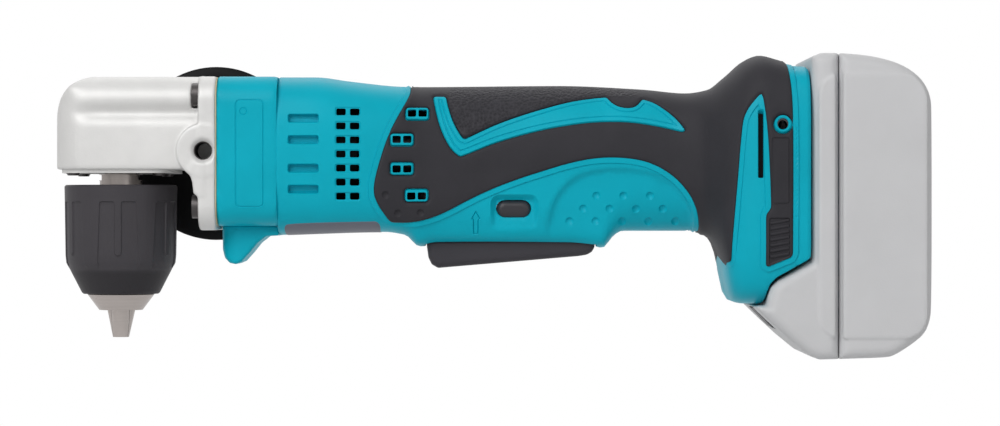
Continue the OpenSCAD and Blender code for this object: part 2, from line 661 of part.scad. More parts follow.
module hook_inserts() {
    color(brass) at_axis() for (s = [0, 1]) mirror([0, s, 0]) translate([hook_x, 0, hook_z]) difference() {
        rod_y(2.9, -foot_half_w + 0.4, -foot_half_w + 0.4 + hook_len);
        rod_y(hook_r, -foot_half_w - 1, -foot_half_w + hook_len + 2);
    }
}
module lever_pin() {
    color(steel) at_axis() translate([pivot_x, 0, pivot_z])
        rod_y(pin_r, -lever_w / 2 - 1.7, lever_w / 2 + 1.7);
}
module led_lens() {
    color([0.9, 0.93, 0.95, 0.6]) at_axis() translate([nose_x, 0, nose_z - 6]) {
        rod_x(3, 0.3, 6.5);
        intersection() {
            translate([1.2, 0, 0]) sphere(r = 2.9);
            rod_x(3, -2, 1);
        }
    }
}

// Motor.
yoke_x0 = shell_x + 29.6;
yoke_x1 = yoke_x0 + 34;
module motor_yoke() {
    color(steel) at_axis() tube_x(18, 16.2, yoke_x0, yoke_x1);
}
module magnets() {
    color(black) at_axis() translate([yoke_x0 + 3, 0, 0]) along_x() for (a = [0 : 90 : 270])
        rotate([0, 0, a - 32]) rotate_extrude(angle = 64) translate([13.4, 0]) square([2.76, 26]);
}
module end_bell() {
    color(black) at_axis() difference() {
        union() {
            rod_x(17.4, yoke_x1, yoke_x1 + 9);
            rod_x(10, yoke_x1 + 8, yoke_x1 + 13.4);
        }
        rod_x(15.6, yoke_x1 - 1, yoke_x1 + 6.6);
        rod_x(7.5, yoke_x1 + 8.4, yoke_x1 + 14);
        rod_x(4.5, yoke_x1, yoke_x1 + 14);
    }
}
module brush_holders() {
    color(brass) at_axis() for (s = [0, 1]) mirror([0, s, 0]) difference() {
        block([yoke_x1 - 2.4, 8.2, -4], [yoke_x1 + 6.6, 14.9, 4]);
        block([yoke_x1 - 0.4, 7, -2.6], [yoke_x1 + 4.8, 16, 2.6]);
    }
}
module carbon_brushes() {
    color(black) at_axis() for (s = [0, 1]) mirror([0, s, 0])
        block([yoke_x1 - 0.3, 7.1, -2.5], [yoke_x1 + 4.7, 14.8, 2.5]);
}
module ring_bearing(r, bore, x0, x1) {
    difference() {
        rod_x(r, x0, x1);
        rod_x(bore, x0 - 1, x1 + 1);
        for (x = [x0 - 1, x1 - 0.5]) tube_x(r - 1.5, bore + 1.5, x, x + 1.5);
    }
}
module motor_bearings() {
    color(steel) at_axis() {
        ring_bearing(9.5 - seat_gap, motor_shaft_r + run_gap, shell_x + 2, shell_x + 8);
        ring_bearing(7.5 - seat_gap, motor_shaft_r + run_gap, yoke_x1 + 8.5, yoke_x1 + 13.4);
    }
}
module pinion_bearings() {
    color(steel) at_axis() translate([0, 0, shaft_z]) {
        ring_bearing(11 - seat_gap, pinion_shaft_r + run_gap, seat_x + 0.1, seat_x + 7.1);
        tube_x(5 - seat_gap, motor_shaft_r + run_gap, shell_x - 7, shell_x - 0.5);
    }
}
module spindle_bearing() {
    color(steel) at_axis() translate([0, 0, -head_base + 0.05]) rotate([0, -90, 0])
        ring_bearing(bearing_r - seat_gap, spindle_r + run_gap, 0, bearing_h);
}
module spindle_bush() {
    color(brass) at_axis() translate([0, 0, shaft_z + 5.5]) difference() {
        cylinder(r = 6 - seat_gap, h = 5.4);
        translate([0, 0, -1]) cylinder(r = 4 + run_gap, h = 8);
    }
}
module armature_shaft() {
    color(steel) at_axis() {
        rod_x(motor_shaft_r, case_x + 13, yoke_x1 + 13.2);
        extrude_x(case_x + 2.5, case_x + 13) rotate(90) spur_shape(pinion_teeth, spur_module, 1);
    }
}
module armature_core() {
    color(steel) at_axis() difference() {
        rod_x(12.8, yoke_x0 + 4, yoke_x0 + 26);
        rod_x(motor_shaft_r + seat_gap, yoke_x0, yoke_x0 + 30);
        for (a = [0 : 30 : 330]) rotate([a, 0, 0]) {
            translate([0, 0, 9]) rod_x(1.8, yoke_x0, yoke_x0 + 30);
            block([yoke_x0, -0.7, 9], [yoke_x0 + 30, 0.7, 14]);
        }
    }
}
module windings() {
    color(copper) at_axis() for (x = [yoke_x0 - 0.5, yoke_x0 + 26.2]) difference() {
        union() {
            rod_x(11.6, x + (x < yoke_x0 ? 1.3 : 0), x + (x < yoke_x0 ? 4.3 : 3));
            rod_x(9.6, x, x + 4.3);
        }
        rod_x(motor_shaft_r + seat_gap, x - 1, x + 9);
    }
}
module commutator() {
    color(copper) at_axis() difference() {
        rod_x(6.9, yoke_x1 - 3, yoke_x1 + 5.6);
        rod_x(motor_shaft_r + seat_gap, yoke_x1 - 9, yoke_x1 + 9);
        for (a = [0 : 30 : 330]) rotate([a, 0, 0]) block([yoke_x1 - 9, -0.3, 6.1], [yoke_x1 + 9, 0.3, 8]);
    }
}
fan_x = shell_x + 13;
module cooling_fan() {
    color(black) at_axis() difference() {
        union() {
            rod_x(5.5, fan_x, fan_x + 12);
            rod_x(17, fan_x + 10, fan_x + 12);
            for (a = [0 : 30 : 330]) rotate([a, 0, 0]) block([fan_x + 2, -0.7, 5], [fan_x + 10.5, 0.7, 16.6]);
        }
        rod_x(motor_shaft_r + seat_gap, fan_x - 1, fan_x + 20);
    }
}
module bevel_pinion() {
    color(steel) at_axis() translate([0, 0, shaft_z]) difference() {
        along_x() bevel_teeth_solid(bevel_pinion_teeth, 90 - gear_tilt, tooth_add, tooth_ded);
        rod_x(spigot_r + seat_gap, gear_r - 3.5, gear_r + 9);
    }
}
module layshaft() {
    color(steel) at_axis() translate([0, 0, shaft_z]) {
        rod_x(spigot_r, gear_r - 3, gear_r + 2);
        rod_x(pinion_shaft_r, gear_r + 1.2, shell_x - 7.2);
        rod_x(motor_shaft_r, shell_x - 8, shell_x - 0.8);
    }
}
module spur_gear() {
    color(steel) at_axis() translate([0, 0, shaft_z]) difference() {
        extrude_x(case_x + 3.5, case_x + 11.5) rotate(-90 + 180 / spur_teeth)
            spur_shape(spur_teeth, spur_module, 0.85);
        rod_x(pinion_shaft_r + seat_gap, case_x, case_x + 20);
    }
}

// Spindle and chuck.
collar_top = head_base + plate_t + 0.3;
hex_low = sleeve_top - 1.5;
thread_r = 4.75;
thread_low = sleeve_top + 15.4;
module spindle() {
    color(steel) at_axis() difference() {
        union() {
            translate([0, 0, shaft_z + 4.6]) cylinder(r = 4, h = 6);
            translate([0, 0, -collar_top]) cylinder(r = spindle_r, h = collar_top + shaft_z + 4.8);
            translate([0, 0, -hex_low]) cylinder(r = 7.9, h = hex_low - collar_top);
            translate([0, 0, -sleeve_top + 0.15]) cylinder(r = 7.7, h = sleeve_top - 0.15 - hex_low + 0.1);
            translate([0, 0, -thread_low]) cylinder(r = thread_r, h = thread_low - hex_low);
        }
        for (s = [-1, 1]) translate([s * 11.6, 0, -(collar_top + hex_low) / 2])
            cube([10, 20, hex_low - collar_top - 0.4], center = true);
    }
}
module bevel_gear() {
    color(steel) at_axis() difference() {
        union() {
            translate([0, 0, shaft_z]) rotate([180, 0, 0]) rotate([0, 0, 180 / bevel_teeth])
                bevel_teeth_solid(bevel_teeth, gear_tilt, tooth_add, tooth_ded);
            translate([0, 0, 1.9]) cylinder(r = 9, h = 5);
        }
        cylinder(r = spindle_r + seat_gap, h = 20);
    }
}
jaw_r = 3.2;
jaw_len = 33;
jaw_tip_in = -0.4;
module jaw_frame(a) {
    translate([0, 0, -axis_z]) rotate([0, 0, a]) translate([jaw_tip_in, 0, 0])
        rotate([0, jaw_slant, 0]) children();
}
jaw_turns = [270, 30, 150];
// Outer edge of the jaws at a height, and the nut that grips them where it keeps its wall.
jaw_edge = jaw_tip_in + (jaw_r + run_gap) / cos(jaw_slant);
function jaw_out(z) = jaw_edge + (axis_z - z) * tan(jaw_slant);
jaw_room = 0.3;
nut_wall = 4.25;
nut_h = 7;
nose_tip_r = bit_max / 2 + 2.9;
nose_r = nose_tip_r + 4.2;
body_r = sleeve_d / 2 - 3.6;
nut_r = body_r + part_gap - seat_gap;
sleeve_low = sleeve_top + sleeve_len;
nut_top = axis_z - (nut_r - nut_wall - jaw_room - jaw_edge) / tan(jaw_slant);
nut_low = nut_top + nut_h;
neck_r = jaw_out(nut_low) + 0.1;
skirt_z = (nut_low + sleeve_low) / 2;
module chuck_body() {
    color(steel) at_axis() difference() {
        rotate_extrude() polygon([
            [0, -sleeve_top], [body_r, -sleeve_top], [body_r, -nut_top + part_gap],
            [neck_r, -nut_top + part_gap], [neck_r, -nut_low - part_gap],
            [body_r - 2, -nut_low - part_gap], [body_r - 3, -skirt_z],
            [nose_r - 0.6, -sleeve_low + 0.4], [nose_r, -sleeve_low - 0.3],
            [nose_tip_r, -sleeve_low - nose_len], [0, -sleeve_low - nose_len]
        ]);
        translate([0, 0, -thread_low - 0.5]) cylinder(r = thread_r + seat_gap, h = 20);
        translate([0, 0, -sleeve_low - nose_len - 1]) cylinder(r = bit_max / 2 + 0.3, h = nose_len + 20);
        for (a = jaw_turns) jaw_frame(a) translate([0, 0, 1])
            cylinder(r = jaw_r + run_gap, h = axis_z - sleeve_top + 8);
    }
}
// Six pairs of sunk finger panels, with a thin rib between the two of a pair.
panel_w = 5.7;
panel_turn = 11.6;
module chuck_sleeve() {
    color(rubber) at_axis() difference() {
        rotate_extrude() polygon([
            [body_r + part_gap, -sleeve_top], [sleeve_d / 2 - 0.5, -sleeve_top],
            [sleeve_d / 2, -sleeve_top - 0.6], [sleeve_d / 2 - 0.1, -sleeve_top - 5],
            [sleeve_d / 2 - 0.4, -sleeve_low + 14], [sleeve_d / 2 - 1.7, -sleeve_low + 9.6],
            [nose_r + 2.1, -sleeve_low + 0.5], [nose_r + 1.5, -sleeve_low],
            [nose_r + 0.5, -sleeve_low], [body_r - 2.2, -skirt_z], [body_r + part_gap, -nut_low - 0.6]
        ]);
        for (a = [0 : 60 : 300], s = [-1, 1]) rotate([0, 0, a - 94 + s * panel_turn])
            block([sleeve_d / 2 - 1, -panel_w / 2, -sleeve_low + 11],
                  [sleeve_d, panel_w / 2, -sleeve_top - 6]);
    }
}
module chuck_nut() {
    color(steel) at_axis() rotate_extrude() polygon([
        [jaw_out(nut_top) + jaw_room, -nut_top], [nut_r, -nut_top], [nut_r, -nut_low],
        [neck_r + jaw_room, -nut_low]
    ]);
}
module jaw(a) {
    color(steel) at_axis() intersection() {
        jaw_frame(a) translate([0, 0, -2]) cylinder(r = jaw_r, h = jaw_len + 2);
        translate([0, 0, -axis_z]) rotate([0, 0, a]) translate([0.1, 0, 0]) linear_extrude(60)
            polygon([[0, 0], [40, -40 * tan(60)], [40, 40 * tan(60)]]);
    }
}
module jaw_1() {
    jaw(jaw_turns[0]);
}
module jaw_2() {
    jaw(jaw_turns[1]);
}
module jaw_3() {
    jaw(jaw_turns[2]);
}

// Lever, switch and direction button.
module lever_shape() {
    polygon([[lever_x, -grip_base - 2.8], [lever_x, -grip_base - 4.4], [lever_x + 1.4, -lever_drop + 2],
             [lever_x + 3.6, -lever_drop], [lever_end - 4.2, -lever_drop + 4.4],
             [lever_end - 1.2, -lever_drop + 5.4], [lever_end, -lever_drop + 8.6],
             [lever_end, -grip_base - 0.5], [lever_end - 2.5, -grip_base + 1.7],
             [lever_end - 7, -grip_base + 1.7], [lever_end - 12, -grip_base + 0.9],
             [lever_end - 22, -grip_base + 0.9],
             [lever_end - 22, -grip_base - 1.2]]);
}
module paddle_lever() {
    color(rubber) at_axis() difference() {
        across(-lever_w / 2, lever_w / 2) lever_shape();
        across(-lever_w / 2 + 2.2, lever_w / 2 - 2.2)
            polygon([[lever_x + 2.4, -grip_base], [lever_x + 4, -lever_drop + 2.4],
                     [lever_end - 24, -lever_drop + 5.4], [lever_end - 24, -grip_base]]);
        translate([pivot_x, 0, pivot_z]) rod_y(pin_r + run_gap, -lever_w, lever_w);
    }
}
plunger_x = lever_end - 16.8;
plunger_low = -grip_base + 0.9 + part_gap;
module switch_plunger() {
    color(black) at_axis() translate([plunger_x, 0, plunger_low]) cylinder(r = 2.2, h = 9);
}
module switch_body() {
    color(black) at_axis() difference() {
        block([grip_x + 46, -9, -22], [grip_x + 74.5, 9, -3]);
        translate([plunger_x, 0, -23]) cylinder(r = 2.2 + run_gap, h = 8);
    }
}
module direction_button() {
    color(rubber) at_axis() across(-button_half + 0.4, button_half - 0.4)
        translate([button_x, button_z]) slot_shape(12.6, 6.4);
}

// Battery side.
module terminal_block() {
    color(black) at_axis()
        block([foot_x + 16, -terminal_half_w, -24], [foot_x + 28.6, terminal_half_w, 14]);
}
module terminal_blades() {
    color(brass) at_axis() for (y = [-blade_y, blade_y])
        block([foot_x + 28.6, y - 0.4, -12], [foot_x + 36, y + 0.4, 4]);
}
pack_x = rear_x + 0.5;
pack_end = pack_x + battery_depth;
split_x = pack_x + 9.6;
cell_pitch = 2 * cell_r + 0.2;
cells_at = [for (c = [0, 1], r = [0 : 4]) [pack_end - 11.7 - c * cell_pitch, 19 - r * cell_pitch]];
module pack_round(side_r) {
    intersection() {
        children();
        extrude_x(foot_x, pack_end + 1)
            round_rect([-battery_half_w, -battery_base - 1], [battery_half_w, battery_top + 0.2], side_r);
        translate([0, 0, -100]) linear_extrude(200)
            round_rect([foot_x + 10, -battery_half_w], [pack_end, battery_half_w], side_r);
    }
}
module cell_nests() {
    for (p = cells_at) translate([p[0], 0, p[1]])
        rod_y(cell_r + seat_gap, -cell_len / 2 - 0.1, cell_len / 2 + 0.1);
}
module battery_bin() {
    color(pale) at_axis() difference() {
        pack_round(7) across(-60, 60) polygon([
            [split_x + 0.1, battery_top], [pack_end - 21.5, battery_top - 0.9],
            [pack_end - 10.8, battery_top - 3.8], [pack_end - 3.7, battery_top - 8.8],
            [pack_end - 0.4, battery_top - 15], [pack_end, battery_top - 22],
            [pack_end, -battery_base + 18.6], [pack_end - 0.9, -battery_base + 12.7],
            [pack_end - 3.3, -battery_base + 8.1], [pack_end - 13.3, -battery_base + 1.3],
            [pack_end - 17, -battery_base + 0.7], [split_x + 0.1, -battery_base + 0.2]
        ]);
        cell_nests();
    }
}
module battery_cover() {
    color(pale) at_axis() difference() {
        union() {
            pack_round(7) across(-60, 60) polygon(concat(
                [[pack_x, battery_top - 1.3], [pack_x + 3.4, battery_top], [split_x, battery_top],
                 [split_x, -battery_base + 0.2], [pack_x + 2.8, -battery_base],
                 [pack_x - 0.6, -battery_base + 1.3], [pack_x - 7.6, -battery_base + 7],
                 [pack_x - 14.3, -battery_base + 13.2], [pack_x - 20.2, -battery_base + 19]],
                [for (p = battery_edge) if (p[1] > -55 && p[0] < 40) p + [foot_x + 0.4, -0.5]],
                [[pack_x, -39]]
            ));
            block([rear_x - 9.9, -rail_half_w, -36], [rear_x - 4.9, rail_half_w, 26.5]);
            block([rear_x - 5, -rail_neck_half_w, -36], [pack_x + 1, rail_neck_half_w, 26.5]);
        }
        cell_nests();
        for (y = [-blade_y, blade_y]) block([rear_x - 12, y - 2.2, -13], [rear_x - 1.5, y + 2.2, 30]);
        block([foot_x, -12.4, -battery_base + 10.4], [pack_x + 1.2, 12.4, -battery_base + 18.1]);
    }
}
module battery_cells() {
    color(steel) at_axis() for (p = cells_at) translate([p[0], 0, p[1]])
        rod_y(cell_r, -cell_len / 2, cell_len / 2);
}
module battery_contacts() {
    color(brass) at_axis() for (y = [-blade_y, blade_y], s = [-1, 1])
        block([rear_x - 9, y + s * 1.4 - 0.4, -12.9], [rear_x - 1.6, y + s * 1.4 + 0.4, 3]);
}
module release_button() {
    color(rubber) at_axis() across(-12, 12) polygon([
        [pack_x - 19, -battery_base + 17.7], [pack_x - 12.2, -battery_base + 10.8],
        [pack_x - 3, -battery_base + 10.8], [pack_x - 3, -battery_base + 17.7]
    ]);
}

// Side grip on the far side of the head.
module side_grip() {
    color(black) at_axis() translate([side_hole_x, flange_half_w + 0.1, 0]) along_y() difference() {
        rotate_extrude() polygon([
            [0, 0], [11, 0], [12, 1], [12, 3], [guard_d / 2 - 3, 4.4], [guard_d / 2, 5.2],
            [guard_d / 2, 7], [guard_d / 2 - 2, 8.4], [18, 9.6], [15, 13], [14, 20], [15.5, 40],
            [16.5, 60], [16, 82], [14.5, side_grip_len - 14], [18, side_grip_len - 8],
            [18, side_grip_len - 2], [16, side_grip_len], [0, side_grip_len]
        ]);
        translate([0, 0, -1]) cylinder(r = side_thread_r, h = 31);
    }
}
module side_grip_stud() {
    color(steel) at_axis() translate([side_hole_x, flange_half_w, 0])
        rod_y(side_thread_r - seat_gap, -side_thread_len + 1, 29);
}

gear_head();
head_flange();
bearing_box();
box_screws();
head_gasket();
gear_case();
head_bolts();
left_shell();
right_shell();
left_grip();
right_grip();
shell_screws();
hook_inserts();
lever_pin();
led_lens();
motor_yoke();
magnets();
end_bell();
brush_holders();
carbon_brushes();
motor_bearings();
pinion_bearings();
spindle_bearing();
spindle_bush();
switch_body();
terminal_block();
terminal_blades();
side_grip();
side_grip_stud();
armature_shaft();
armature_core();
windings();
commutator();
cooling_fan();
bevel_pinion();
layshaft();
spur_gear();
spindle();
bevel_gear();
chuck_body();
chuck_sleeve();
chuck_nut();
jaw_1();
jaw_2();
jaw_3();
paddle_lever();
switch_plunger();
direction_button();
battery_cover();
battery_bin();
battery_cells();
battery_contacts();
release_button();
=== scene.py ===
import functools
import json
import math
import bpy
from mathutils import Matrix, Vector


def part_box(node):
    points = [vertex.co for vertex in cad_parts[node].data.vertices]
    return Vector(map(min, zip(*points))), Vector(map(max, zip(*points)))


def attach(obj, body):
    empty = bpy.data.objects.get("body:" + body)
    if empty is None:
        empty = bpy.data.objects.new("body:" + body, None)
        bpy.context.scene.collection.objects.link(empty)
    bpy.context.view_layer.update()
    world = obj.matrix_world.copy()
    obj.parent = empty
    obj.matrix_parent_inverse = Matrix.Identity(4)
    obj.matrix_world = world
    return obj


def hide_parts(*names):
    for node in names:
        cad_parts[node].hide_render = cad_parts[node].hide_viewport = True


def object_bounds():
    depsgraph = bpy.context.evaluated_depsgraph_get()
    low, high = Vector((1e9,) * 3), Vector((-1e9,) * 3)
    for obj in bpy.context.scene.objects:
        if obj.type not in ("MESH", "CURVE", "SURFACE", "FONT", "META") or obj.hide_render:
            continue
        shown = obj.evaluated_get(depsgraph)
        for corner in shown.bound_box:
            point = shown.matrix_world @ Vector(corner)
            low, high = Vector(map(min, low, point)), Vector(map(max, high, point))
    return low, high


bl_info = {
    "name": "Right angle drill",
    "version": (1, 0, 0),
    "blender": (4, 5, 0),
    "location": "3D View > Sidebar > Drill",
    "description": "Dresses the packed right angle drill in its moulded, cast and rubber surfaces",
    "category": "Object",
}

import bpy
import numpy as np
import openvdb
from bpy.props import FloatProperty, FloatVectorProperty, IntProperty, PointerProperty
from mathutils import Vector, kdtree
from mathutils.geometry import delaunay_2d_cdt

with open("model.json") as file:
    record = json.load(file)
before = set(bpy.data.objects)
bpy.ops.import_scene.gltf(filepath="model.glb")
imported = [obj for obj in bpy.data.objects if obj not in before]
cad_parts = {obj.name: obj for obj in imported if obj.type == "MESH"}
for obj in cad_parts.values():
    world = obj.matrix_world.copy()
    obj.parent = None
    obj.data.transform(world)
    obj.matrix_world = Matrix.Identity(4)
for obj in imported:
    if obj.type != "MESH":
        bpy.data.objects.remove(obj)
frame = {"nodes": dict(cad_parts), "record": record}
CAD_BOX = [list(corner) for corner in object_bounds()]


def node_span(node):
    """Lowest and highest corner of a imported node, in millimetres."""
    low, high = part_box(node)
    return np.array(low) * 1000.0, np.array(high) * 1000.0


# Main places along the drill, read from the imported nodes. Heights are counted from the motor's axis.
AXIS = float(sum(corner[2] for corner in node_span("motor_yoke")) / 2)
CASE_X = float(node_span("gear_case")[0][0])
FLANGE_X = CASE_X - 6.6
FLANGE_END = FLANGE_X + 6.2
REAR_X = float(node_span("left_shell")[1][0])
FOOT_X = REAR_X - 38.5
GRIP_X = FOOT_X - 104.5
SHELL_X = GRIP_X - 47.0
PACK_X = REAR_X + 0.5
PACK_END = float(node_span("battery_bin")[1][0])
LEVER_X, LEVER_END = (float(corner[0]) for corner in node_span("paddle_lever"))
FLOOR_Z = CAD_BOX[0][2] - 0.082  # room for the battery, which slides down 80 mm

# Other sizes in millimetres, counts, and crease angles in degrees.
HEAD_X, HEAD_HALF, HEAD_TOP, HEAD_LOW = -22, 27.3, 26.8, -28.5
HOLE_X = FLANGE_X + 1.8
BOLT_Y, BOLT_Z = 20.5, 20.0
NOSE_X, NOSE_HALF, LAMP_Z = 37.2, 14, -33.4
LEVER_HALF, LEVER_TOP, LEVER_LOW = 13, -27.1, -42.2
COVER_END, BIN_X = 258.45, 258.6
PACK_HALF, PACK_TOP, PACK_LOW, PACK_SEAM_LOW = 37.5, 34.6, -74.4, -74.2
PACK_TOE = PACK_X - 20.2
GUIDE_X, GUIDE_Y, GUIDE_LOW, GUIDE_TOP = REAR_X - 25.4, 35, -44, 20
SLEEVE_R, SLEEVE_TOP, SLEEVE_LOW = 20, -12.1, -51.7
SHROUD_X, SHROUD_R = 76, 22.3
BACK_LOW, BACK_HIGH, BACK_Y = (228.4, -11.6), (232.9, 15.9), 35
COLLAR, COLLAR_Y = (8.5, 5.4), 14.6
SKIN_STEP = 1.7   # spacing of points on the body's skin
LINE_REACH = 2.6  # how far from an outline the mesh follows the steps of its profile
RIM_REACH = 3     # how far from a hole its wall is set straight
SMALL_LOOP = 90   # points of an outline, below which its hole has level walls
BLOCK = 1500      # points that are handled at a time
CREASE, GROWN_CREASE, SLEEVE_CREASE, HANDLE_CREASE = 34, 35, 32, 40


# Settings a user would change.


def tint(name, description, default):
    return FloatVectorProperty(
        name=name, description=description, subtype="COLOR", size=3, min=0, max=1, default=default)


def depth(name, description, default, low, high):
    return FloatProperty(
        name=name, description=description + ", in millimetres", default=default, min=low, max=high)


def number(name, description, default, low, high):
    return IntProperty(name=name, description=description, default=default, min=low, max=high)


class DrillColours(bpy.types.PropertyGroup):
    """Colours of the drill's surfaces"""

    teal: tint("Teal plastic", "Moulded body", (0.001, 0.39, 0.51))
    rubber: tint("Rubber", "Soft grip moulded over the body", (0.029, 0.028, 0.033))
    lever: tint("Lever", "Paddle lever and release button", (0.044, 0.042, 0.049))
    casting: tint("Casting", "Blasted aluminium of the gear head", (0.64, 0.635, 0.625))
    sleeve: tint("Chuck sleeve", "Plastic sleeve of the chuck", (0.045, 0.042, 0.047))
    pack: tint("Battery", "Pale battery case", (0.58, 0.58, 0.59))


class DrillRelief(bpy.types.PropertyGroup):
    """Depths and counts of the moulded detail"""

    rubber: depth("Rubber thickness", "Height of the rubber over the shell", 1.2, 0.6, 1.2)
    wall: depth("Wall", "Wall of the shells", 2.4, 1.5, 3.0)
    lip: depth("Lip", "Raised lip beside the rubber", 0.5, 0, 0.6)
    groove: depth("Seam", "Depth of the seam between the halves", 0.3, 0, 0.6)
    dimple: depth("Dimples", "Depth of the round dimples", 0.8, 0.2, 1)
    pad_ribs: number("Pad ribs", "Ribs on each pad of the foot", 7, 3, 10)
    grip_rings: number("Grip rings", "Rings round the side grip", 15, 5, 24)


class DrillSettings(bpy.types.PropertyGroup):
    """All settings of the drill"""

    colours: PointerProperty(type=DrillColours)
    relief: PointerProperty(type=DrillRelief)


# Meshes.


def row(points):
    """Points in millimetres about the motor's axis, as metres in the row's frame."""
    return (np.asarray(points, float) + (0.0, 0.0, AXIS)) * 0.001


def volume_of(points, faces):
    """Signed volume inside the faces."""
    total = 0.0
    for block in faces:
        for k in range(1, block.shape[1] - 1):
            a, b, c = points[block[:, 0]], points[block[:, k]], points[block[:, k + 1]]
            total += float((a * np.cross(b, c)).sum())
    return total / 6


def placed(name, data):
    """A new object in the scene."""
    made = bpy.data.objects.new(name, data)
    bpy.context.scene.collection.objects.link(made)
    return made


def set_marks(mesh, marks):
    """Stores a number for each point under each key."""
    for key, values in marks.items():
        mesh.attributes.new(key, "FLOAT", "POINT").data.foreach_set("value", np.asarray(values, np.float32))


def make_piece(name, points, faces, crease=None, marks=None):
    """Links one mesh object, its faces turned outwards and shaded smooth up to the crease angle."""
    faces = [np.asarray(block, int) for block in faces if len(block)]
    if volume_of(points, faces) < 0:
        faces = [block[:, ::-1] for block in faces]
    mesh = bpy.data.meshes.new(name)
    mesh.from_pydata(row(points).tolist(), [], [face for block in faces for face in block.tolist()])
    mesh.polygons.foreach_set("use_smooth", [True] * len(mesh.polygons))
    if crease:
        mesh.set_sharp_from_angle(angle=math.radians(crease))
    set_marks(mesh, marks or {})
    mesh.update()
    return placed(name, mesh)


def fit(piece, body, slot, *nodes, finish=None):
    """Gives a piece its finish, its body and the nodes that it stands for."""
    piece.data.materials.clear()
    piece.data.materials.append(FINISH[finish or slot])
    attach(piece, body)
    if nodes:
        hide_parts(*nodes)


def mirrored(points):
    """The same points on the other side of the drill."""
    return points * (1.0, -1.0, 1.0)


# Outlines.


def soften(corners, radius, steps=7):
    """Closed outline with its corners rounded, and slight bends drawn as one flowing curve."""
    bend = 40  # degrees
    p = np.array(corners, float)
    loop = []
    for before, at, after in zip(np.roll(p, 1, 0), p, np.roll(p, -1, 0)):
        lengths = [np.linalg.norm(other - at) for other in (before, after)]
        turn = np.degrees(np.arccos(np.clip((at - before) @ (after - at) / (lengths[0] * lengths[1]), -1, 1)))
        arms = []
        for other, reach in zip((before, after), lengths):
            cut = 0.48 * reach if turn < bend else min(radius, 0.45 * reach)
            arms.append(at + (other - at) / reach * cut)
        for t in np.linspace(0, 1, steps):
            loop.append((1 - t) ** 2 * arms[0] + 2 * t * (1 - t) * at + t * t * arms[1])
    return np.array(loop)


def run_along(points):
    """Distance from the first point of a line to each of its points."""
    return np.concatenate([[0], np.cumsum(np.linalg.norm(np.diff(points, axis=0), axis=1))])


def twice_area(loop):
    """Double of the area inside a flat closed loop."""
    x, y = loop.T
    return abs(float((x * np.roll(y, -1) - y * np.roll(x, -1)).sum()))


def resample(loop, step):
    """Closed outline with evenly spaced points."""
    closed = np.vstack([loop, loop[:1]])
    run = run_along(closed)
    marks = np.linspace(0, run[-1], max(10, int(run[-1] / step)) + 1)[:-1]
    return np.stack([np.interp(marks, run, closed[:, k]) for k in (0, 1)], -1)


def box_outline(x, z, width, height, radius):
    """Upright rounded rectangle about a centre."""
    w, h = width / 2 - radius, height / 2 - radius
    loop = []
    for quarter, (sx, sz) in enumerate(((1, 1), (-1, 1), (-1, -1), (1, -1))):
        for t in np.linspace(0, math.pi / 2, 5):
            turn = quarter * math.pi / 2 + t
            loop.append((x + sx * w + radius * math.cos(turn), z + sz * h + radius * math.sin(turn)))
    return np.array(loop)


def ring_outline(x, z, radius):
    """Circle about a centre."""
    turn = np.linspace(0, 2 * math.pi, 28, endpoint=False)
    return np.stack([x + radius * np.cos(turn), z + radius * np.sin(turn)], -1)


def inside(points, loop):
    """Which flat points lie inside a closed loop."""
    x0, y0 = loop.T
    x1, y1 = np.roll(loop, -1, 0).T
    rise = np.where(y1 == y0, 1e-12, y1 - y0)
    found = np.zeros(len(points), bool)
    low, high = loop.min(0), loop.max(0)
    near = np.flatnonzero(((points >= low) & (points <= high)).all(1))
    for part in np.array_split(near, max(1, len(near) // BLOCK)):
        x, y = points[part, :1], points[part, 1:]
        cross = ((y0 > y) != (y1 > y)) & (x < (x1 - x0) * (y - y0) / rise + x0)
        found[part] = cross.sum(1) % 2 == 1
    return found


def edge_distance(points, loop):
    """Distance in space from points to a closed loop."""
    run = np.roll(loop, -1, 0) - loop
    length = np.maximum((run * run).sum(1), 1e-12)
    gap = np.empty(len(points))
    for part in np.array_split(np.arange(len(points)), max(1, len(points) // BLOCK)):
        p = points[part, None, :] - loop
        t = np.clip((p * run).sum(2) / length, 0, 1)
        gap[part] = np.sqrt(((p - t[..., None] * run) ** 2).sum(2).min(1))
    return gap


def patch_border(us, vs):
    """Closed loop round a patch of a skin, from the stations along its two sides."""
    sides = ((us[:-1], vs[0]), (us[-1], vs[:-1]), (us[:0:-1], vs[-1]), (us[0], vs[:0:-1]))
    return np.concatenate([np.stack(np.broadcast_arrays(u, v), -1) for u, v in sides])


def ramp(gap, reach):
    """1 at a line, falling to 0 at a distance from it."""
    return np.clip(1 - gap / reach, 0, 1)


# Skins: surfaces on which moulded detail is drawn.


class Line:
    """Smooth line through knots that never overshoots them."""

    def __init__(self, *knots):
        self.x, self.y = np.array(knots, float).T
        slope = np.diff(self.y) / np.diff(self.x)
        a, b = slope[:-1], slope[1:]
        middle = np.where(a * b > 0, 2 * a * b / np.where(a + b == 0, 1, a + b), 0)
        self.lean = np.concatenate([slope[:1], middle, slope[-1:]])

    def __call__(self, x):
        x = np.asarray(x, float)
        i = np.clip(np.searchsorted(self.x, x, side="right") - 1, 0, len(self.x) - 2)
        h = self.x[i + 1] - self.x[i]
        t = np.clip((x - self.x[i]) / h, 0, 1)
        start = (1 + 2 * t) * (1 - t) ** 2 * self.y[i] + t * (1 - t) ** 2 * h * self.lean[i]
        return start + t * t * (3 - 2 * t) * self.y[i + 1] - t * t * (1 - t) * h * self.lean[i + 1]


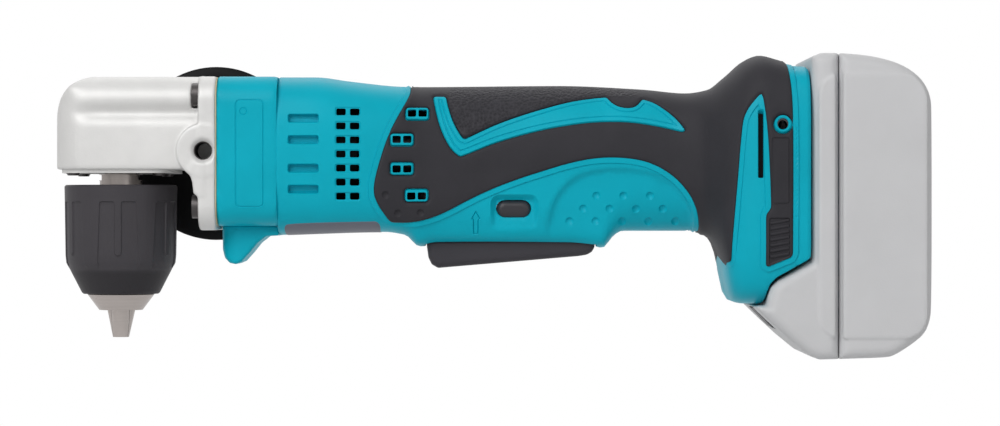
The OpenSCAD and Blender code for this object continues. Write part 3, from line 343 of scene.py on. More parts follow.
class BodySkin:
    """Left half of the moulded body, by place along it and turn from the top seam to the lower one."""

    plane = (1.0, 28.65)

    def __init__(self):
        s, g, f, r = SHELL_X, GRIP_X, FOOT_X, REAR_X
        self.top = Line(
            (s, 27), (s + 13, 27), (s + 25.6, 25.5), (g - 5, 23.8), (g - 0.5, 23.6), (g + 3, 22.4),
            (g + 54.5, 22.8), (f - 20, 21.5), (f - 4, 20.1), (f + 3.5, 21.2), (f + 10.6, 26.3),
            (f + 17.8, 32.2), (f + 21.5, 33.3), (f + 28.5, 31.6), (f + 32, 30.8), (r, 30.4))
        self.low = Line(
            (s, -30.3), (g - 9, -29.2), (g - 1.5, -30.3), (g + 3.7, -33.6), (g + 10, -32.6), (g + 58, -33),
            (g + 70.3, -34), (g + 73.5, -31), (g + 77.5, -28.8), (f - 1, -28.8), (f + 3.3, -29.4),
            (f + 6, -32.5), (f + 8, -38.2), (f + 10, -50.4), (f + 12.5, -54.4), (f + 16, -55), (r, -55))
        self.half = Line(
            (s, 27), (s + 13, 27.2), (s + 30, 26), (g - 2, 23.5), (g + 10, 21.3), (g + 35, 20.3),
            (g + 70, 20), (f - 12, 19.6), (f, 21.9), (f + 5, 26.8), (f + 11, 33.5), (f + 17, 37),
            (f + 24, 38), (r, 38))
        self.upper = Line((s, 3.6), (g - 20, 3.2), (g + 10, 2.5), (f - 10, 2.5), (f + 15, 4.5), (r, 6))
        self.lower = Line(
            (s, 3.6), (g - 20, 3.4), (g + 5, 4.5), (g + 70, 4.5), (g + 85, 2.8), (f - 5, 2.8),
            (f + 10, 4.5), (r, 7))

    def sizes(self, x):
        top, low = self.top(x), self.low(x)
        return (top + low) / 2, (top - low) / 2, self.half(x), self.upper(x), self.lower(x)

    def place(self, x, turn, height=0.0):
        mid, rise, half, upper, lower = self.sizes(x)
        s, c = np.sin(turn), np.cos(turn)
        n = np.where(c >= 0, upper, lower)
        reach = (np.abs(s) ** n + np.abs(c) ** n) ** (-1 / n)
        return np.stack([x + 0 * turn, -(half + height) * reach * s, mid + (rise + height) * reach * c], -1)

    def find(self, points):
        x, y, z = points.T
        mid, rise, half, _, _ = self.sizes(x)
        turn = np.arctan2(-y / half, (z - mid) / rise)
        return np.stack([x, np.where(turn < -1.6, turn + 2 * np.pi, turn)], -1)

    def from_side(self, outline):
        x, z = np.asarray(outline, float).T
        mid, rise, _, upper, lower = self.sizes(x)
        share = (z - mid) / rise
        n = np.where(share >= 0, upper, lower)
        wide = np.maximum(0, 1 - np.abs(share) ** n) ** (1 / n)
        over = np.maximum(0, np.abs(share) - 1)
        turn = np.arctan2(wide, share)
        return np.stack([x, np.where(share > 0, turn - over, turn + over)], -1)

    def from_seam(self, x, y, sign):
        """Turn at a distance y from the top seam, sign 1, or from the lower one, sign -1."""
        n = self.upper(x) if sign > 0 else self.lower(x)
        share = np.clip(np.abs(y) / self.half(x), 0, 1)
        return np.arctan2(share, sign * (1 - share ** n) ** (1 / n))

    def side_y(self, x, z):
        """Depth of the left side at a place in the side view."""
        spot = self.from_side([(x, z)])[0]
        return float(self.place(np.array([spot[0]]), np.array([spot[1]]))[0][1])

    def border(self, x0, x1):
        return patch_border(np.linspace(x0, x1, int((x1 - x0) / 1.1) + 2), np.linspace(0, np.pi, 120))

    def spots(self, x0, x1, step, more=()):
        """Even spread of points over the skin, with closer rows beside the seams."""
        found, turns = [], np.linspace(0, np.pi, 400)
        row_gap = step * 0.87  # height of an even triangle
        stations = np.concatenate([np.arange(x0 + step / 2, x1 - 0.3, row_gap), more])
        for k, x in enumerate(stations):
            run = run_along(self.place(np.full(len(turns), x), turns))
            marks = np.arange(2.2 + (k % 2) * step / 2, run[-1] - 1.6, step)
            seam = [self.from_seam(x, y, sign) for sign in (1, -1) for y in (0.45, 0.95)]
            turn = np.concatenate([np.interp(marks, run, turns), seam])
            found.append(np.stack([np.full(len(turn), x), turn], -1))
        return np.concatenate(found)


class CaseSkin:
    """Left half of the gear case, by place along it and run from the top seam to the lower one."""

    plane = (1.0, 1.0)

    def __init__(self, half, top, low, radius):
        self.flat, self.radius, self.top, self.low = half - radius, radius, top, low
        self.arc, self.side = radius * math.pi / 2, top - low - 2 * radius
        self.length = 2 * (self.flat + self.arc) + self.side

    def place(self, x, run, height=0.0):
        r = self.radius
        turn = np.clip((run - self.flat) / r, 0, np.pi / 2)
        turn = turn + np.clip((run - self.flat - self.arc - self.side) / r, 0, np.pi / 2)
        back = np.maximum(0, run - self.flat - 2 * self.arc - self.side)
        y = np.minimum(run, self.flat) - back + (r + height) * np.sin(turn)
        z = self.top - r - np.clip(run - self.flat - self.arc, 0, self.side) + (r + height) * np.cos(turn)
        return np.stack([x + 0 * run, -y, z], -1)

    def find(self, points):
        x, y, z = points.T
        r, out = self.radius, -y - self.flat
        over, under = z - (self.top - r), (self.low + r) - z
        run = self.flat + self.arc + (self.top - r - z)
        run = np.where((over > 0) & (out > 0), self.flat + r * np.arctan2(out, over), run)
        run = np.where((over > 0) & (out <= 0), -y, run)
        lower = self.flat + self.arc + self.side
        run = np.where((under > 0) & (out > 0), lower + r * np.arctan2(under, out), run)
        run = np.where((under > 0) & (out <= 0), lower + self.arc + self.flat + y, run)
        return np.stack([x, run], -1)

    def from_side(self, outline):
        x, z = np.asarray(outline, float).T
        r = self.radius
        run = self.flat + self.arc + (self.top - r - z)
        over = np.clip((z - self.top + r) / r, 0, 1)
        run = np.where(z > self.top - r, self.flat + r * np.arccos(over), run)
        under = np.clip((self.low + r - z) / r, 0, 1)
        run = np.where(z < self.low + r, self.flat + self.arc + self.side + r * np.arcsin(under), run)
        return np.stack([x, run], -1)


class SleeveSkin:
    """Outside of the chuck sleeve, by run round it at SLEEVE_R from the axis and by height."""

    plane = (1.0, 1.0)
    profile = np.array([
        (SLEEVE_LOW, 13.6), (-51.2, 14.2), (-42.3, 18.75), (-41.6, 19.2), (-40.4, 19.8), (-37.7, 20.1),
        (-17.1, 20.4), (-12.7, 20.5), (SLEEVE_TOP, 20.0)])

    def place(self, run, z, height=0.0):
        r = np.interp(z, self.profile[:, 0], self.profile[:, 1]) + height
        return np.stack([r * np.sin(run / SLEEVE_R), -r * np.cos(run / SLEEVE_R), z + 0 * run], -1)

    def find(self, points):
        x, y, z = points.T
        return np.stack([SLEEVE_R * np.arctan2(x, -y), z], -1)


class Relief:
    """Closed outline on a skin with a step profile across its edge; distances are negative inside."""

    def __init__(self, loop, steps=(), hole=None, gain=None, lines=True, straight=False, upright=False):
        self.loop, self.hole, self.gain, self.square = loop, hole, gain, False
        self.lines, self.straight, self.upright = lines, straight, upright
        self.far, self.high = np.array(steps, float).T if len(steps) else (np.zeros(1), np.zeros(1))

    def shifted(self, skin, distance):
        """The outline moved out by a distance along the skin."""
        if distance == 0:
            return self.loop
        u, a = self.loop.T
        e = 1e-3
        p = skin.place(u, a)
        along = np.roll(p, -1, 0) - np.roll(p, 1, 0)
        normal = np.cross(skin.place(u + e, a) - skin.place(u - e, a),
                          skin.place(u, a + e / 20) - skin.place(u, a - e / 20))
        side = np.cross(along, normal)
        side /= np.maximum(np.linalg.norm(side, axis=1, keepdims=True), 1e-12)
        grown = skin.find(p + 0.05 * side)
        sign = 1 if twice_area(grown * skin.plane) > twice_area(self.loop * skin.plane) else -1
        return skin.find(p + sign * distance * side)

    def loops(self, skin):
        """Outlines that the mesh has to follow."""
        places = set(self.far) if self.lines else set()
        if self.hole is not None:
            places.add(self.hole)
        return [self.shifted(skin, float(d)) for d in sorted(places) if abs(d) < LINE_REACH]

    def height(self, skin, flat, points):
        """Height that the outline adds at points of the skin."""
        edge = skin.place(*self.loop.T)
        reach = max(0.5, self.far.max() + 0.2)
        near = ((points > edge.min(0) - reach) & (points < edge.max(0) + reach)).all(1)
        near |= inside(flat * skin.plane, self.loop * skin.plane)
        found = np.zeros(len(points))
        if len(self.far) < 2 or not near.any():
            return found
        gap = edge_distance(points[near], edge)
        gap[inside(flat[near] * skin.plane, self.loop * skin.plane)] *= -1
        found[near] = np.interp(gap, self.far, self.high)
        if self.gain:
            found *= self.gain(points)
        return found


class Detail(list):
    """Reliefs on one skin, from outlines in the side view."""

    def __init__(self, skin):
        super().__init__()
        self.skin = skin

    def add(self, outline, steps=(), hole=None, gain=None, spacing=0.5, straight=False):
        """Adds a relief; a straight one is sunk square to the side view, and small holes get level walls."""
        loop = self.skin.from_side(resample(np.asarray(outline, float), spacing))
        made = Relief(loop, steps, hole, gain, straight=straight)
        made.square = hole is not None and len(loop) < SMALL_LOOP
        self.append(made)
        return made


def weave(skin, border, reliefs, spots, floor, keep=None, base=None, thin=1.0):
    """Closed wall over a skin: its points, and its faces in blocks of triangles and quads."""
    clear = 0.5  # least gap between a free point and an outline
    scale = np.array(skin.plane)
    loops = [border] + [loop for relief in reliefs for loop in relief.loops(skin)]
    walls = np.concatenate(loops) * scale
    tree = kdtree.KDTree(len(walls))
    for i, (x, y) in enumerate(walls):
        tree.insert((x, y, 0), i)
    tree.balance()
    free = [(x, y) for x, y in spots * scale if tree.find((x, y, 0))[2] > clear]
    edges, start = [], 0
    for loop in loops:
        n = len(loop)
        edges += [(start + i, start + (i + 1) % n) for i in range(n)]
        start += n
    points = [Vector(p) for p in walls.tolist()] + [Vector(p) for p in free]
    made = delaunay_2d_cdt(points, edges, [], 0, 1e-5, False)
    flat = np.array([(v[0], v[1]) for v in made[0]]) / scale
    faces = np.array([list(f) for f in made[2]])
    middle = flat[faces].mean(1) * scale
    good = inside(middle, border * scale)
    if keep:
        good &= keep(middle / scale)
    for relief in reliefs:
        if relief.hole is not None:
            good &= ~inside(middle, relief.shifted(skin, relief.hole) * scale)
    used, faces = np.unique(faces[good], return_inverse=True)
    faces, flat = faces.reshape(-1, 3), flat[used]
    ground = skin.place(flat[:, 0], flat[:, 1])
    height, sunk = np.zeros(len(flat)), np.zeros(len(flat))
    for relief in reliefs:
        amount = sunk if relief.straight else height
        amount += relief.height(skin, flat, ground)
    if base:
        height = height + base(ground)
    outer = skin.place(flat[:, 0], flat[:, 1], height)
    inner = skin.place(flat[:, 0], flat[:, 1], np.minimum(floor, height - thin))
    outer[:, 1] -= sunk
    inner[:, 1] = np.where(sunk < 0, np.maximum(inner[:, 1], outer[:, 1] + thin), inner[:, 1])
    for relief in reliefs:
        if relief.square or relief.upright:
            axis = 2 if relief.square else 1
            loop = skin.place(*relief.shifted(skin, relief.hole).T)
            low, high = loop.min(0) - RIM_REACH, loop.max(0) + RIM_REACH
            near = np.flatnonzero(((ground > low) & (ground < high)).all(1))
            share = ramp(edge_distance(ground[near], loop), RIM_REACH)
            inner[near, axis] += share * (outer[near, axis] - inner[near, axis])
    n = len(flat)
    rim = np.concatenate([faces[:, [0, 1]], faces[:, [1, 2]], faces[:, [2, 0]]])
    rim = rim[~np.isin(rim[:, 0] * n + rim[:, 1], rim[:, 1] * n + rim[:, 0])]
    sides = np.stack([rim[:, 1], rim[:, 0], rim[:, 0] + n, rim[:, 1] + n], -1)
    return np.concatenate([outer, inner]), [np.concatenate([faces, faces[:, ::-1] + n]), sides]


# Solid shapes as distance fields, for cast and rounded pieces.


def most(*fields):
    """Where all fields overlap."""
    return functools.reduce(np.maximum, fields)


def smooth_least(a, b, k):
    """Where either field lies, with a blend k wide."""
    h = np.clip(0.5 + 0.5 * (b - a) / k, 0, 1)
    return b * (1 - h) + a * h - k * h * (1 - h)


def smooth_most(a, b, k):
    """Where both fields overlap, with a blend k wide."""
    return -smooth_least(-a, -b, k)


def ease(low, high, x):
    """Smooth rise from 0 to 1 between two places."""
    t = np.clip((x - low) / (high - low), 0, 1)
    return t * t * (3 - 2 * t)


def span(x, low, high):
    """Stretch between two places."""
    return np.abs(x - (low + high) / 2) - (high - low) / 2


def both(a, b, radius):
    """Where two fields meet, with a rounded edge."""
    a, b = a + radius, b + radius
    return np.minimum(np.maximum(a, b), 0) + np.hypot(np.maximum(a, 0), np.maximum(b, 0)) - radius


def tile(x, y, low, high, radius):
    """Rounded rectangle."""
    return both(span(x, low[0], high[0]), span(y, low[1], high[1]), radius)


def bore(out, radius, run, low, high):
    """Round hole about a line, from the distance to it, between two places along it."""
    return np.maximum(out - radius, span(run, low, high))


def plate(x, y, corners):
    """Distance to a polygon."""
    p = np.array(corners, float)
    gap, sign = None, 1.0
    for a, b in zip(p, np.roll(p, -1, 0)):
        ex, ey = b - a
        wx, wy = x - a[0], y - a[1]
        t = np.clip((wx * ex + wy * ey) / (ex * ex + ey * ey), 0, 1)
        d = (wx - t * ex) ** 2 + (wy - t * ey) ** 2
        gap = d if gap is None else np.minimum(gap, d)
        up, down, left = y >= a[1], y < b[1], ex * wy > ey * wx
        flip = (up & down & left) | (~up & ~down & ~left)
        sign = np.where(flip, -sign, sign)
    return sign * np.sqrt(gap)


def carve(name, low, high, step, field):
    """Piece in the shape of the solid where a field is negative."""
    low, high = np.array(low, float) - 2.5 * step, np.array(high, float) + 2.5 * step
    axes = [low[k] + step * np.arange(int(math.ceil((high[k] - low[k]) / step)) + 1) for k in range(3)]
    places = np.meshgrid(*axes, indexing="ij", sparse=True)
    gap = np.broadcast_to(field(*places), [len(axis) for axis in axes])
    band = 3 * step
    grid = openvdb.FloatGrid(band)
    grid.copyFromArray(np.ascontiguousarray(np.clip(gap, -band, band), dtype=np.float32))
    grid.transform = openvdb.createLinearTransform(step)
    points, quads = grid.convertToQuads(0.0)
    return make_piece(name, np.asarray(points, float) + low, [np.asarray(quads, int)])


# Finishes.


def add_node(tree, kind, settings, values, out):
    """Adds a node, its settings before its sockets, and gives an output; a list holds several links."""
    node = tree.nodes.new(kind)
    for key, value in (settings or {}).items():
        setattr(node, key, value)
    by_name = {socket.identifier: socket for socket in node.inputs}
    for key, value in (values or {}).items():
        socket = by_name.get(key) or node.inputs[key]
        for one in value if isinstance(value, list) else [value]:
            source = one.socket if isinstance(one, Shade) else one
            if isinstance(source, bpy.types.NodeSocket):
                tree.links.new(source, socket)
            else:
                socket.default_value = source
    outs = {socket.identifier: socket for socket in node.outputs}
    return outs[out] if out in outs else node.outputs[out]


class Shade:
    """One socket of a material; sums on it add Math nodes."""

    def __init__(self, tree, socket):
        self.tree, self.socket = tree, socket

    def reckon(self, operation, first, second):
        values = {0: first, 1: second}
        return Shade(self.tree, add_node(self.tree, "ShaderNodeMath", {"operation": operation}, values, 0))

    def __add__(self, other):
        return self.reckon("ADD", self, other)

    def __sub__(self, other):
        return self.reckon("SUBTRACT", self, other)

    def __mul__(self, other):
        return self.reckon("MULTIPLY", self, other)

    __radd__, __rmul__ = __add__, __mul__


class Finish:
    """A procedural material on a piece's own coordinates."""

    def __init__(self, name, **fixed):
        self.material = bpy.data.materials.new(name)
        self.material.use_nodes = True
        self.tree = self.material.node_tree
        self.tree.nodes.clear()
        self.skin = self.tree.nodes.new("ShaderNodeBsdfPrincipled")
        out = self.tree.nodes.new("ShaderNodeOutputMaterial")
        self.tree.links.new(self.skin.outputs[0], out.inputs[0])
        for key, value in fixed.items():
            self.skin.inputs[key.replace("_", " ")].default_value = value
        self.place = self.node("ShaderNodeTexCoord", out="Object")

    def node(self, kind, settings=None, values=None, out=0):
        return Shade(self.tree, add_node(self.tree, kind, settings, values, out))

    def noise(self, scale, detail=2.0, place=None):
        return self.node("ShaderNodeTexNoise", None, {
            "Vector": place or self.place, "Scale": scale, "Detail": detail, "Roughness": 0.55})

    def cells(self, scale):
        return self.node("ShaderNodeTexVoronoi", {"feature": "F1"}, {
            "Vector": self.place, "Scale": scale}, "Distance")

    def stretched(self, scale):
        return self.node("ShaderNodeMapping", None, {"Vector": self.place, "Scale": scale})

    def mark(self, name):
        return self.node("ShaderNodeAttribute", {"attribute_name": name}, None, "Fac")

    def mixed(self, share, first, second):
        return self.node("ShaderNodeMix", {"data_type": "RGBA"}, {
            "Factor_Float": share, "A_Color": (*first, 1.0), "B_Color": (*second, 1.0)}, "Result_Color")

    def limited(self, value, low, high):
        return value.reckon("MINIMUM", value.reckon("MAXIMUM", value, low), high)

    def feed(self, socket, value):
        self.tree.links.new(value.socket, self.skin.inputs[socket])

    def vary(self, socket, value, low=0.0):
        self.feed(socket, self.limited(value, low, 1.0))

    def paint(self, share, colour, low, high):
        """Base colour between two shades of one tint."""
        shades = [tuple(min(1.0, c * k) for c in colour) for k in (low, high)]
        self.feed("Base Color", self.mixed(self.limited(share, 0.0, 1.0), *shades))

    def bump(self, height, distance):
        """Adds the fine relief and gives the finished material."""
        self.feed("Normal", self.node("ShaderNodeBump", None, {
            "Height": height, "Distance": distance, "Strength": 1.0}))
        return self.material


def moulded(name, colour, rough, grain=2200.0, bump=0.00003, patch=0.07, shine=0.16, shaded=None):
    """Moulded plastic: faint cloudiness, a spark-eroded grain and soft wear in the gloss; where shaded names
    a mark, the colour there is darkened as painted shade.
    """
    f = Finish(name, Specular_IOR_Level=shine)
    cloud, fine = f.noise(45.0, 3.0), f.noise(grain, 2.0)
    # painted shade: a marked region is darkened as though it lay in shadow
    tone = 0.4 * (cloud - 0.5) + 0.7 - 0.7 * f.mark(shaded) if shaded else cloud * 1.6 - 0.3
    f.paint(tone, colour, 1 - patch, 1 + patch)
    f.vary("Roughness", rough + 0.16 * (cloud - 0.5) + 0.12 * (fine - 0.5), 0.05)
    return f.bump(fine, bump)


def soft_rubber(name, colour, rough):
    """Matt rubber, with a leather-like grain where the mesh asks for it."""
    f = Finish(name, Specular_IOR_Level=0.16)
    cloud, fine = f.noise(60.0, 3.0), f.noise(2600.0, 2.0)
    cells, mask = f.cells(900.0), f.mark("grain")
    f.paint(cloud * 0.8 + 0.1 + mask * (1.6 * cells - 0.75), colour, 0.74, 1.3)
    f.vary("Roughness", rough + 0.12 * (fine - 0.5) + 0.10 * (cloud - 0.5), 0.1)
    return f.bump(fine * 0.08 + mask * cells, 0.0004)


def blasted_casting(name, colour):
    """Bead-blasted aluminium casting."""
    f = Finish(name)
    cloud, fine, pits = f.noise(70.0, 4.0), f.noise(2400.0, 3.0), f.noise(900.0, 2.0)
    f.paint(cloud * 1.5 - 0.25 + 0.4 * (fine - 0.5), colour, 0.92, 1.06)
    f.vary("Metallic", 0.24 + 0.2 * (cloud - 0.5))
    f.vary("Roughness", 0.5 + 0.2 * (fine - 0.5) + 0.1 * (cloud - 0.5), 0.1)
    return f.bump(fine + 0.6 * pits, 0.00005)


def turned_metal(name, colour, rough, lay=(60.0, 60.0, 3000.0)):
    """Turned or ground metal with fine tool lines."""
    f = Finish(name)
    lines, cloud = f.noise(1.0, 3.0, f.stretched(lay)), f.noise(120.0, 3.0)
    f.paint(lines * 0.9 + 0.5 * cloud - 0.2, colour, 0.86, 1.1)
    f.vary("Metallic", 0.9 + 0.1 * (cloud - 0.5))
    f.vary("Roughness", rough + 0.25 * (lines - 0.5) + 0.1 * (cloud - 0.5), 0.08)
    return f.bump(lines, 0.00002)


def gasket_sheet(name, colour):
    """Fibre gasket."""
    f = Finish(name)
    fibre = f.noise(1.0, 4.0, f.stretched((900.0, 300.0, 2600.0)))
    f.paint(fibre, colour, 0.75, 1.2)
    f.feed("Roughness", 0.75 + 0.2 * (fibre - 0.5))
    return f.bump(fibre, 0.00005)


def clear_lens(name):
    """Moulded lens of the work light, faintly frosted."""
    f = Finish(name, IOR=1.49, Transmission_Weight=0.7)
    fine, cells = f.noise(1500.0, 2.0), f.cells(700.0)
    f.feed("Base Color", f.mixed(cells, (0.9, 0.92, 0.94), (0.97, 0.98, 0.99)))
    f.feed("Roughness", 0.12 + 0.2 * fine)
    return f.bump(cells, 0.00008)


FINISH = {}


def make_finishes(colours):
    """One finish for each material slot of the record, and three for single pieces."""
    steel, dark = (0.42, 0.38, 0.36), (0.07, 0.065, 0.065)
    FINISH.update({
        "teal_plastic": moulded("teal plastic", colours.teal, 0.42, shine=0.12),
        "rubber": soft_rubber("grip rubber", colours.rubber, 0.6),
        "dark_plastic": moulded("lever plastic", colours.lever, 0.46),
        "black_plastic": moulded("black plastic", (0.006, 0.006, 0.0065), 0.45, shine=0.08),
        "button_plastic": moulded("button plastic", (0.026, 0.025, 0.03), 0.36, shine=0.3),
        # the sleeve's downward-facing cone is darkened by its mark: painted shade
        "sleeve_plastic": moulded(
            "sleeve plastic", colours.sleeve, 0.5, 1800.0, 0.00004, 0.34, shaded="cone"),
        "pale_plastic": moulded("battery plastic", colours.pack, 0.5, 1900.0, 0.00003, 0.04, 0.3),
        "cast_aluminium": blasted_casting("blasted aluminium", colours.casting),
        "steel": turned_metal("turned steel", steel, 0.34),
        "dark_steel": turned_metal("dark steel", dark, 0.4, (2500.0, 80.0, 80.0)),
        "brass": turned_metal("brass", (0.6, 0.42, 0.16), 0.35, (80.0, 2500.0, 80.0)),
        "copper": turned_metal("copper wire", (0.62, 0.27, 0.13), 0.4, (400.0, 2500.0, 400.0)),
        "gasket_paper": gasket_sheet("gasket paper", (0.52, 0.47, 0.3)),
        "clear_lens": clear_lens("lamp lens"),
        "ferrite": moulded("ferrite", (0.03, 0.03, 0.032), 0.6, 900.0, 0.00006),
        "cell_can": moulded("cell wrap", (0.08, 0.25, 0.3), 0.4),
        "label_grey": moulded("rating strip", (0.153, 0.162, 0.195), 0.5, 1500.0, 0.00001, 0.03),
    })


# Repeated pieces.


class NodeTree:
    """A geometry node tree with named numbers as inputs."""

    def __init__(self, name, *inputs):
        self.group = bpy.data.node_groups.new(name, "GeometryNodeTree")
        sockets = [("Geometry", "INPUT", "Geometry")] + [(key, "INPUT", "Float") for key in inputs]
        for key, way, kind in sockets + [("Geometry", "OUTPUT", "Geometry")]:
            self.group.interface.new_socket(key, in_out=way, socket_type="NodeSocket" + kind)
        self.inputs = self.group.nodes.new("NodeGroupInput").outputs

    def node(self, kind, settings=None, values=None):
        return add_node(self.group, kind, settings, values, 0)

    def part(self, key, share):
        """A share of an input."""
        return self.node("ShaderNodeMath", {"operation": "MULTIPLY"}, {0: self.inputs[key], 1: share})

    def circle(self, points, radius):
        return self.node("GeometryNodeCurvePrimitiveCircle", None, {"Resolution": points, "Radius": radius})

    def cylinder(self, sides, radius, key):
        return self.node("GeometryNodeMeshCylinder", None, {
            "Vertices": sides, "Radius": radius, "Depth": self.inputs[key]})

    def lifted(self, geometry, key, share):
        """Geometry moved along Z by a share of an input."""
        up = self.node("ShaderNodeCombineXYZ", None, {"Z": self.part(key, share)})
        return self.node("GeometryNodeTransform", None, {0: geometry, "Translation": up})

    def turned(self, geometry, *turn):
        return self.node("GeometryNodeTransform", None, {0: geometry, "Rotation": turn})

    def less(self, solid, cuts):
        return self.node("GeometryNodeMeshBoolean", {"operation": "DIFFERENCE"}, {0: solid, 1: cuts})

    def spread(self, shape, **values):
        """One shape on each point."""
        spots = self.node("GeometryNodeInstanceOnPoints", None, {
            0: self.inputs["Geometry"], "Instance": shape, **values})
        return self.node("GeometryNodeRealizeInstances", None, {0: spots})

    def finish(self, geometry):
        """Ends the tree in smooth faces."""
        smooth = self.node("GeometryNodeSetShadeSmooth", None, {0: geometry, "Shade Smooth": True})
        self.group.links.new(smooth, self.group.nodes.new("NodeGroupOutput").inputs[0])
        return self

    def grow(self, name, points, marks=None, **values):
        """Runs the tree on points in millimetres and keeps the result as a plain mesh."""
        seed = bpy.data.meshes.new(name)
        seed.from_pydata(row(points).tolist(), [], [])
        set_marks(seed, marks or {})
        piece = placed(name, seed)
        modifier = piece.modifiers.new("make", "NODES")
        modifier.node_group = self.group
        for item in self.group.interface.items_tree:
            if item.in_out == "INPUT" and item.name in values:
                modifier[item.identifier] = values[item.name]
        made = bpy.data.meshes.new_from_object(piece.evaluated_get(bpy.context.evaluated_depsgraph_get()))
        if not len(made.polygons):
            raise RuntimeError(name + " came out empty")
        piece.modifiers.clear()
        piece.data = made
        made.set_sharp_from_angle(angle=math.radians(GROWN_CREASE))
        return piece


def rib_tree():
    """Rounded bars, one on each point."""
    t = NodeTree("pad ribs", "Length", "Rise", "Radius")
    ends = {key: t.node("ShaderNodeCombineXYZ", None, {"X": t.part("Length", k), "Z": t.part("Rise", k)})
            for key, k in (("Start", -0.5), ("End", 0.5))}
    line = t.node("GeometryNodeCurvePrimitiveLine", None, ends)
    edge = t.circle(12, t.inputs["Radius"])
    return t.finish(t.spread(t.node("GeometryNodeCurveToMesh", None, {0: line, 1: edge, "Fill Caps": True})))


def screw_tree():
    """Pan-head screws with a cross recess, heads towards +Y."""
    t = NodeTree("cross screws", "Radius", "Height")
    cross = [t.lifted(t.node("GeometryNodeMeshCube", None, {"Size": size}), "Height", 0.5)
             for size in ((0.0034, 0.0009, 0.0016), (0.0009, 0.0034, 0.0016))]
    head = t.less(t.cylinder(28, t.inputs["Radius"], "Height"), cross)
    return t.finish(t.spread(t.turned(head, -math.pi / 2, 0.0, 0.0)))


def bolt_tree():
    """Socket-head bolts, heads towards -X."""
    t = NodeTree("socket bolts", "Radius", "Height", "Shank", "Length")
    socket = t.lifted(t.cylinder(6, t.part("Radius", 0.55), "Height"), "Height", 0.5)
    head = t.less(t.cylinder(40, t.inputs["Radius"], "Height"), [socket])
    shank = t.lifted(t.cylinder(24, t.inputs["Shank"], "Length"), "Length", -0.5)
    bolt = t.node("GeometryNodeJoinGeometry", None, {0: [head, shank]})
    return t.finish(t.spread(t.turned(bolt, 0.0, -math.pi / 2, 0.0)))


def ring_tree():
    """Rounded rings about an axis along Y, each as wide as its point says."""
    t = NodeTree("grip rings", "Radius")
    wide = t.node("GeometryNodeInputNamedAttribute", {"data_type": "FLOAT"}, {"Name": "ring"})
    scale = t.node("ShaderNodeCombineXYZ", None, {"X": wide, "Y": wide, "Z": wide})
    rings = t.spread(t.circle(64, 1.0), Rotation=(-math.pi / 2, 0.0, 0.0), Scale=scale)
    return t.finish(t.node("GeometryNodeCurveToMesh", None, {0: rings, 1: t.circle(10, t.inputs["Radius"])}))


# The moulded body.

RUBBER_EDGE = [
    (106, 21.8), (105.7, 19.3), (98.9, 7.4), (94.8, -4.6), (92.6, -14.1), (94.6, -19.5), (98.9, -25.3),
    (106.1, -25.5), (111.4, -24.6), (118.1, -22.2), (127.7, -17.1), (137.3, -12.8), (146.9, -9.4),
    (152.7, -7.6), (161.8, -4.8), (171, -2.8), (180.1, -2.3), (189.3, -3.3), (196.2, -6), (202.2, -10.3),
    (206.7, -15.8), (209, -20.9), (209.9, -25.9), (209.9, -28.4), (209.9, -40.2), (220.6, -39.6),
    (220.9, -31.9), (222.8, -9.8), (223.8, 3.8), (224.9, 13), (230.9, 20), (231.7, 17.3), (233.1, 6.4),
    (233.9, -9.8), (234.2, -20.7), (232.4, -22.5), (232.4, -41.4), (242, -37.5), (242.2, -7.1), (242, 19.5),
    (240.7, 29.8), (240.2, 45), (106, 45)]
BAND_EDGE = [
    (114.2, 19), (118.8, 19), (119.8, 14.6), (121.5, 9.8), (123.9, 5.5), (125.5, 3.8), (130.1, 6),
    (137.3, 9.3), (147, 12.7), (161.8, 16.9), (171, 18.3), (176.9, 18.8), (178.3, 17.1), (180.6, 15.6),
    (183.8, 14.9), (187, 15.3), (188.9, 17.1), (189.6, 18.1), (193.9, 16.9), (198.5, 13.9), (202.2, 10.7),
    (204.9, 7.1), (204, 6.6), (193.9, 8.9), (184.7, 10.2), (175.6, 10.3), (166.4, 9.6), (152.7, 7.3),
    (137.3, 3.1), (127.7, -0.8), (123.9, -2.2), (121, 0.2), (118.6, 4.1), (116.6, 8.9), (115.2, 14.2)]
BAND_TOP = np.array(BAND_EDGE[1:12])
WINDOWS = [(108.6, 12.9), (103.2, 3.8), (103.2, -6.4), (108.4, -15.8)]
VENT_ROWS = [-1.2 + 5.1 * i for i in range(-3, 4)]
SLOT_ROWS = [11.55, 3.9, -6.3, -13.8]
DIMPLES = [(x, z) for z, row_x in (
    (-16.1, (173, 182.7, 192.3)), (-20.8, (168.2, 177.7, 187.3, 197)),
    (-25.3, (163.3, 172.7, 182.3, 191.9, 201.6))) for x in row_x]
RUBBER_DIMPLES = [(97.4, -15.3), (101.7, -21.6), (109.8, -21.6)]
SCREWS = [(70, 20.6), (70, -23.5), (96.4, -23), (140.4, 14.6), (186.4, -20.5), (186.4, 12.6), (223.4, 21),
          (225.9, -46.5)]
HOOK_HOLE = (238.4, 8.9)
BUTTON = (143.2, -20.9)
BATTERY_CUT = [(232.5, -70), (232.5, -54.5), (233.1, -51.2), (234.1, -48), (236.3, -45.6), (238.9, -44.1),
               (250.9, -37.2), (256, -70)]
THUMB = [(154.4, -31), (154.9, -26.4), (156.6, -18.7), (160.5, -12.4), (166.7, -7.9), (175.6, -5.6),
         (190.3, -6.3), (200.3, -10.4), (206.6, -17.6), (208.6, -24), (208.6, -38), (154.4, -38)]
PAD = [(233.4, -23.6), (241, -23.6), (241, -37.4), (233.4, -40.4)]
STRIP = [(60.8, -27.2), (62.2, -26), (94, -25.3), (95.3, -26.7), (95.3, -40), (60.8, -40)]
ARROW = [(129.6, -21.4), (131.5, -24.7), (130.65, -24.7), (130.65, -29.6), (128.55, -29.6), (128.55, -24.7),
         (127.7, -24.7)]


def fade(points, low, high):
    """0 below a height, rising to 1 at another."""
    return np.clip((points[:, 2] - low) / (high - low), 0, 1)


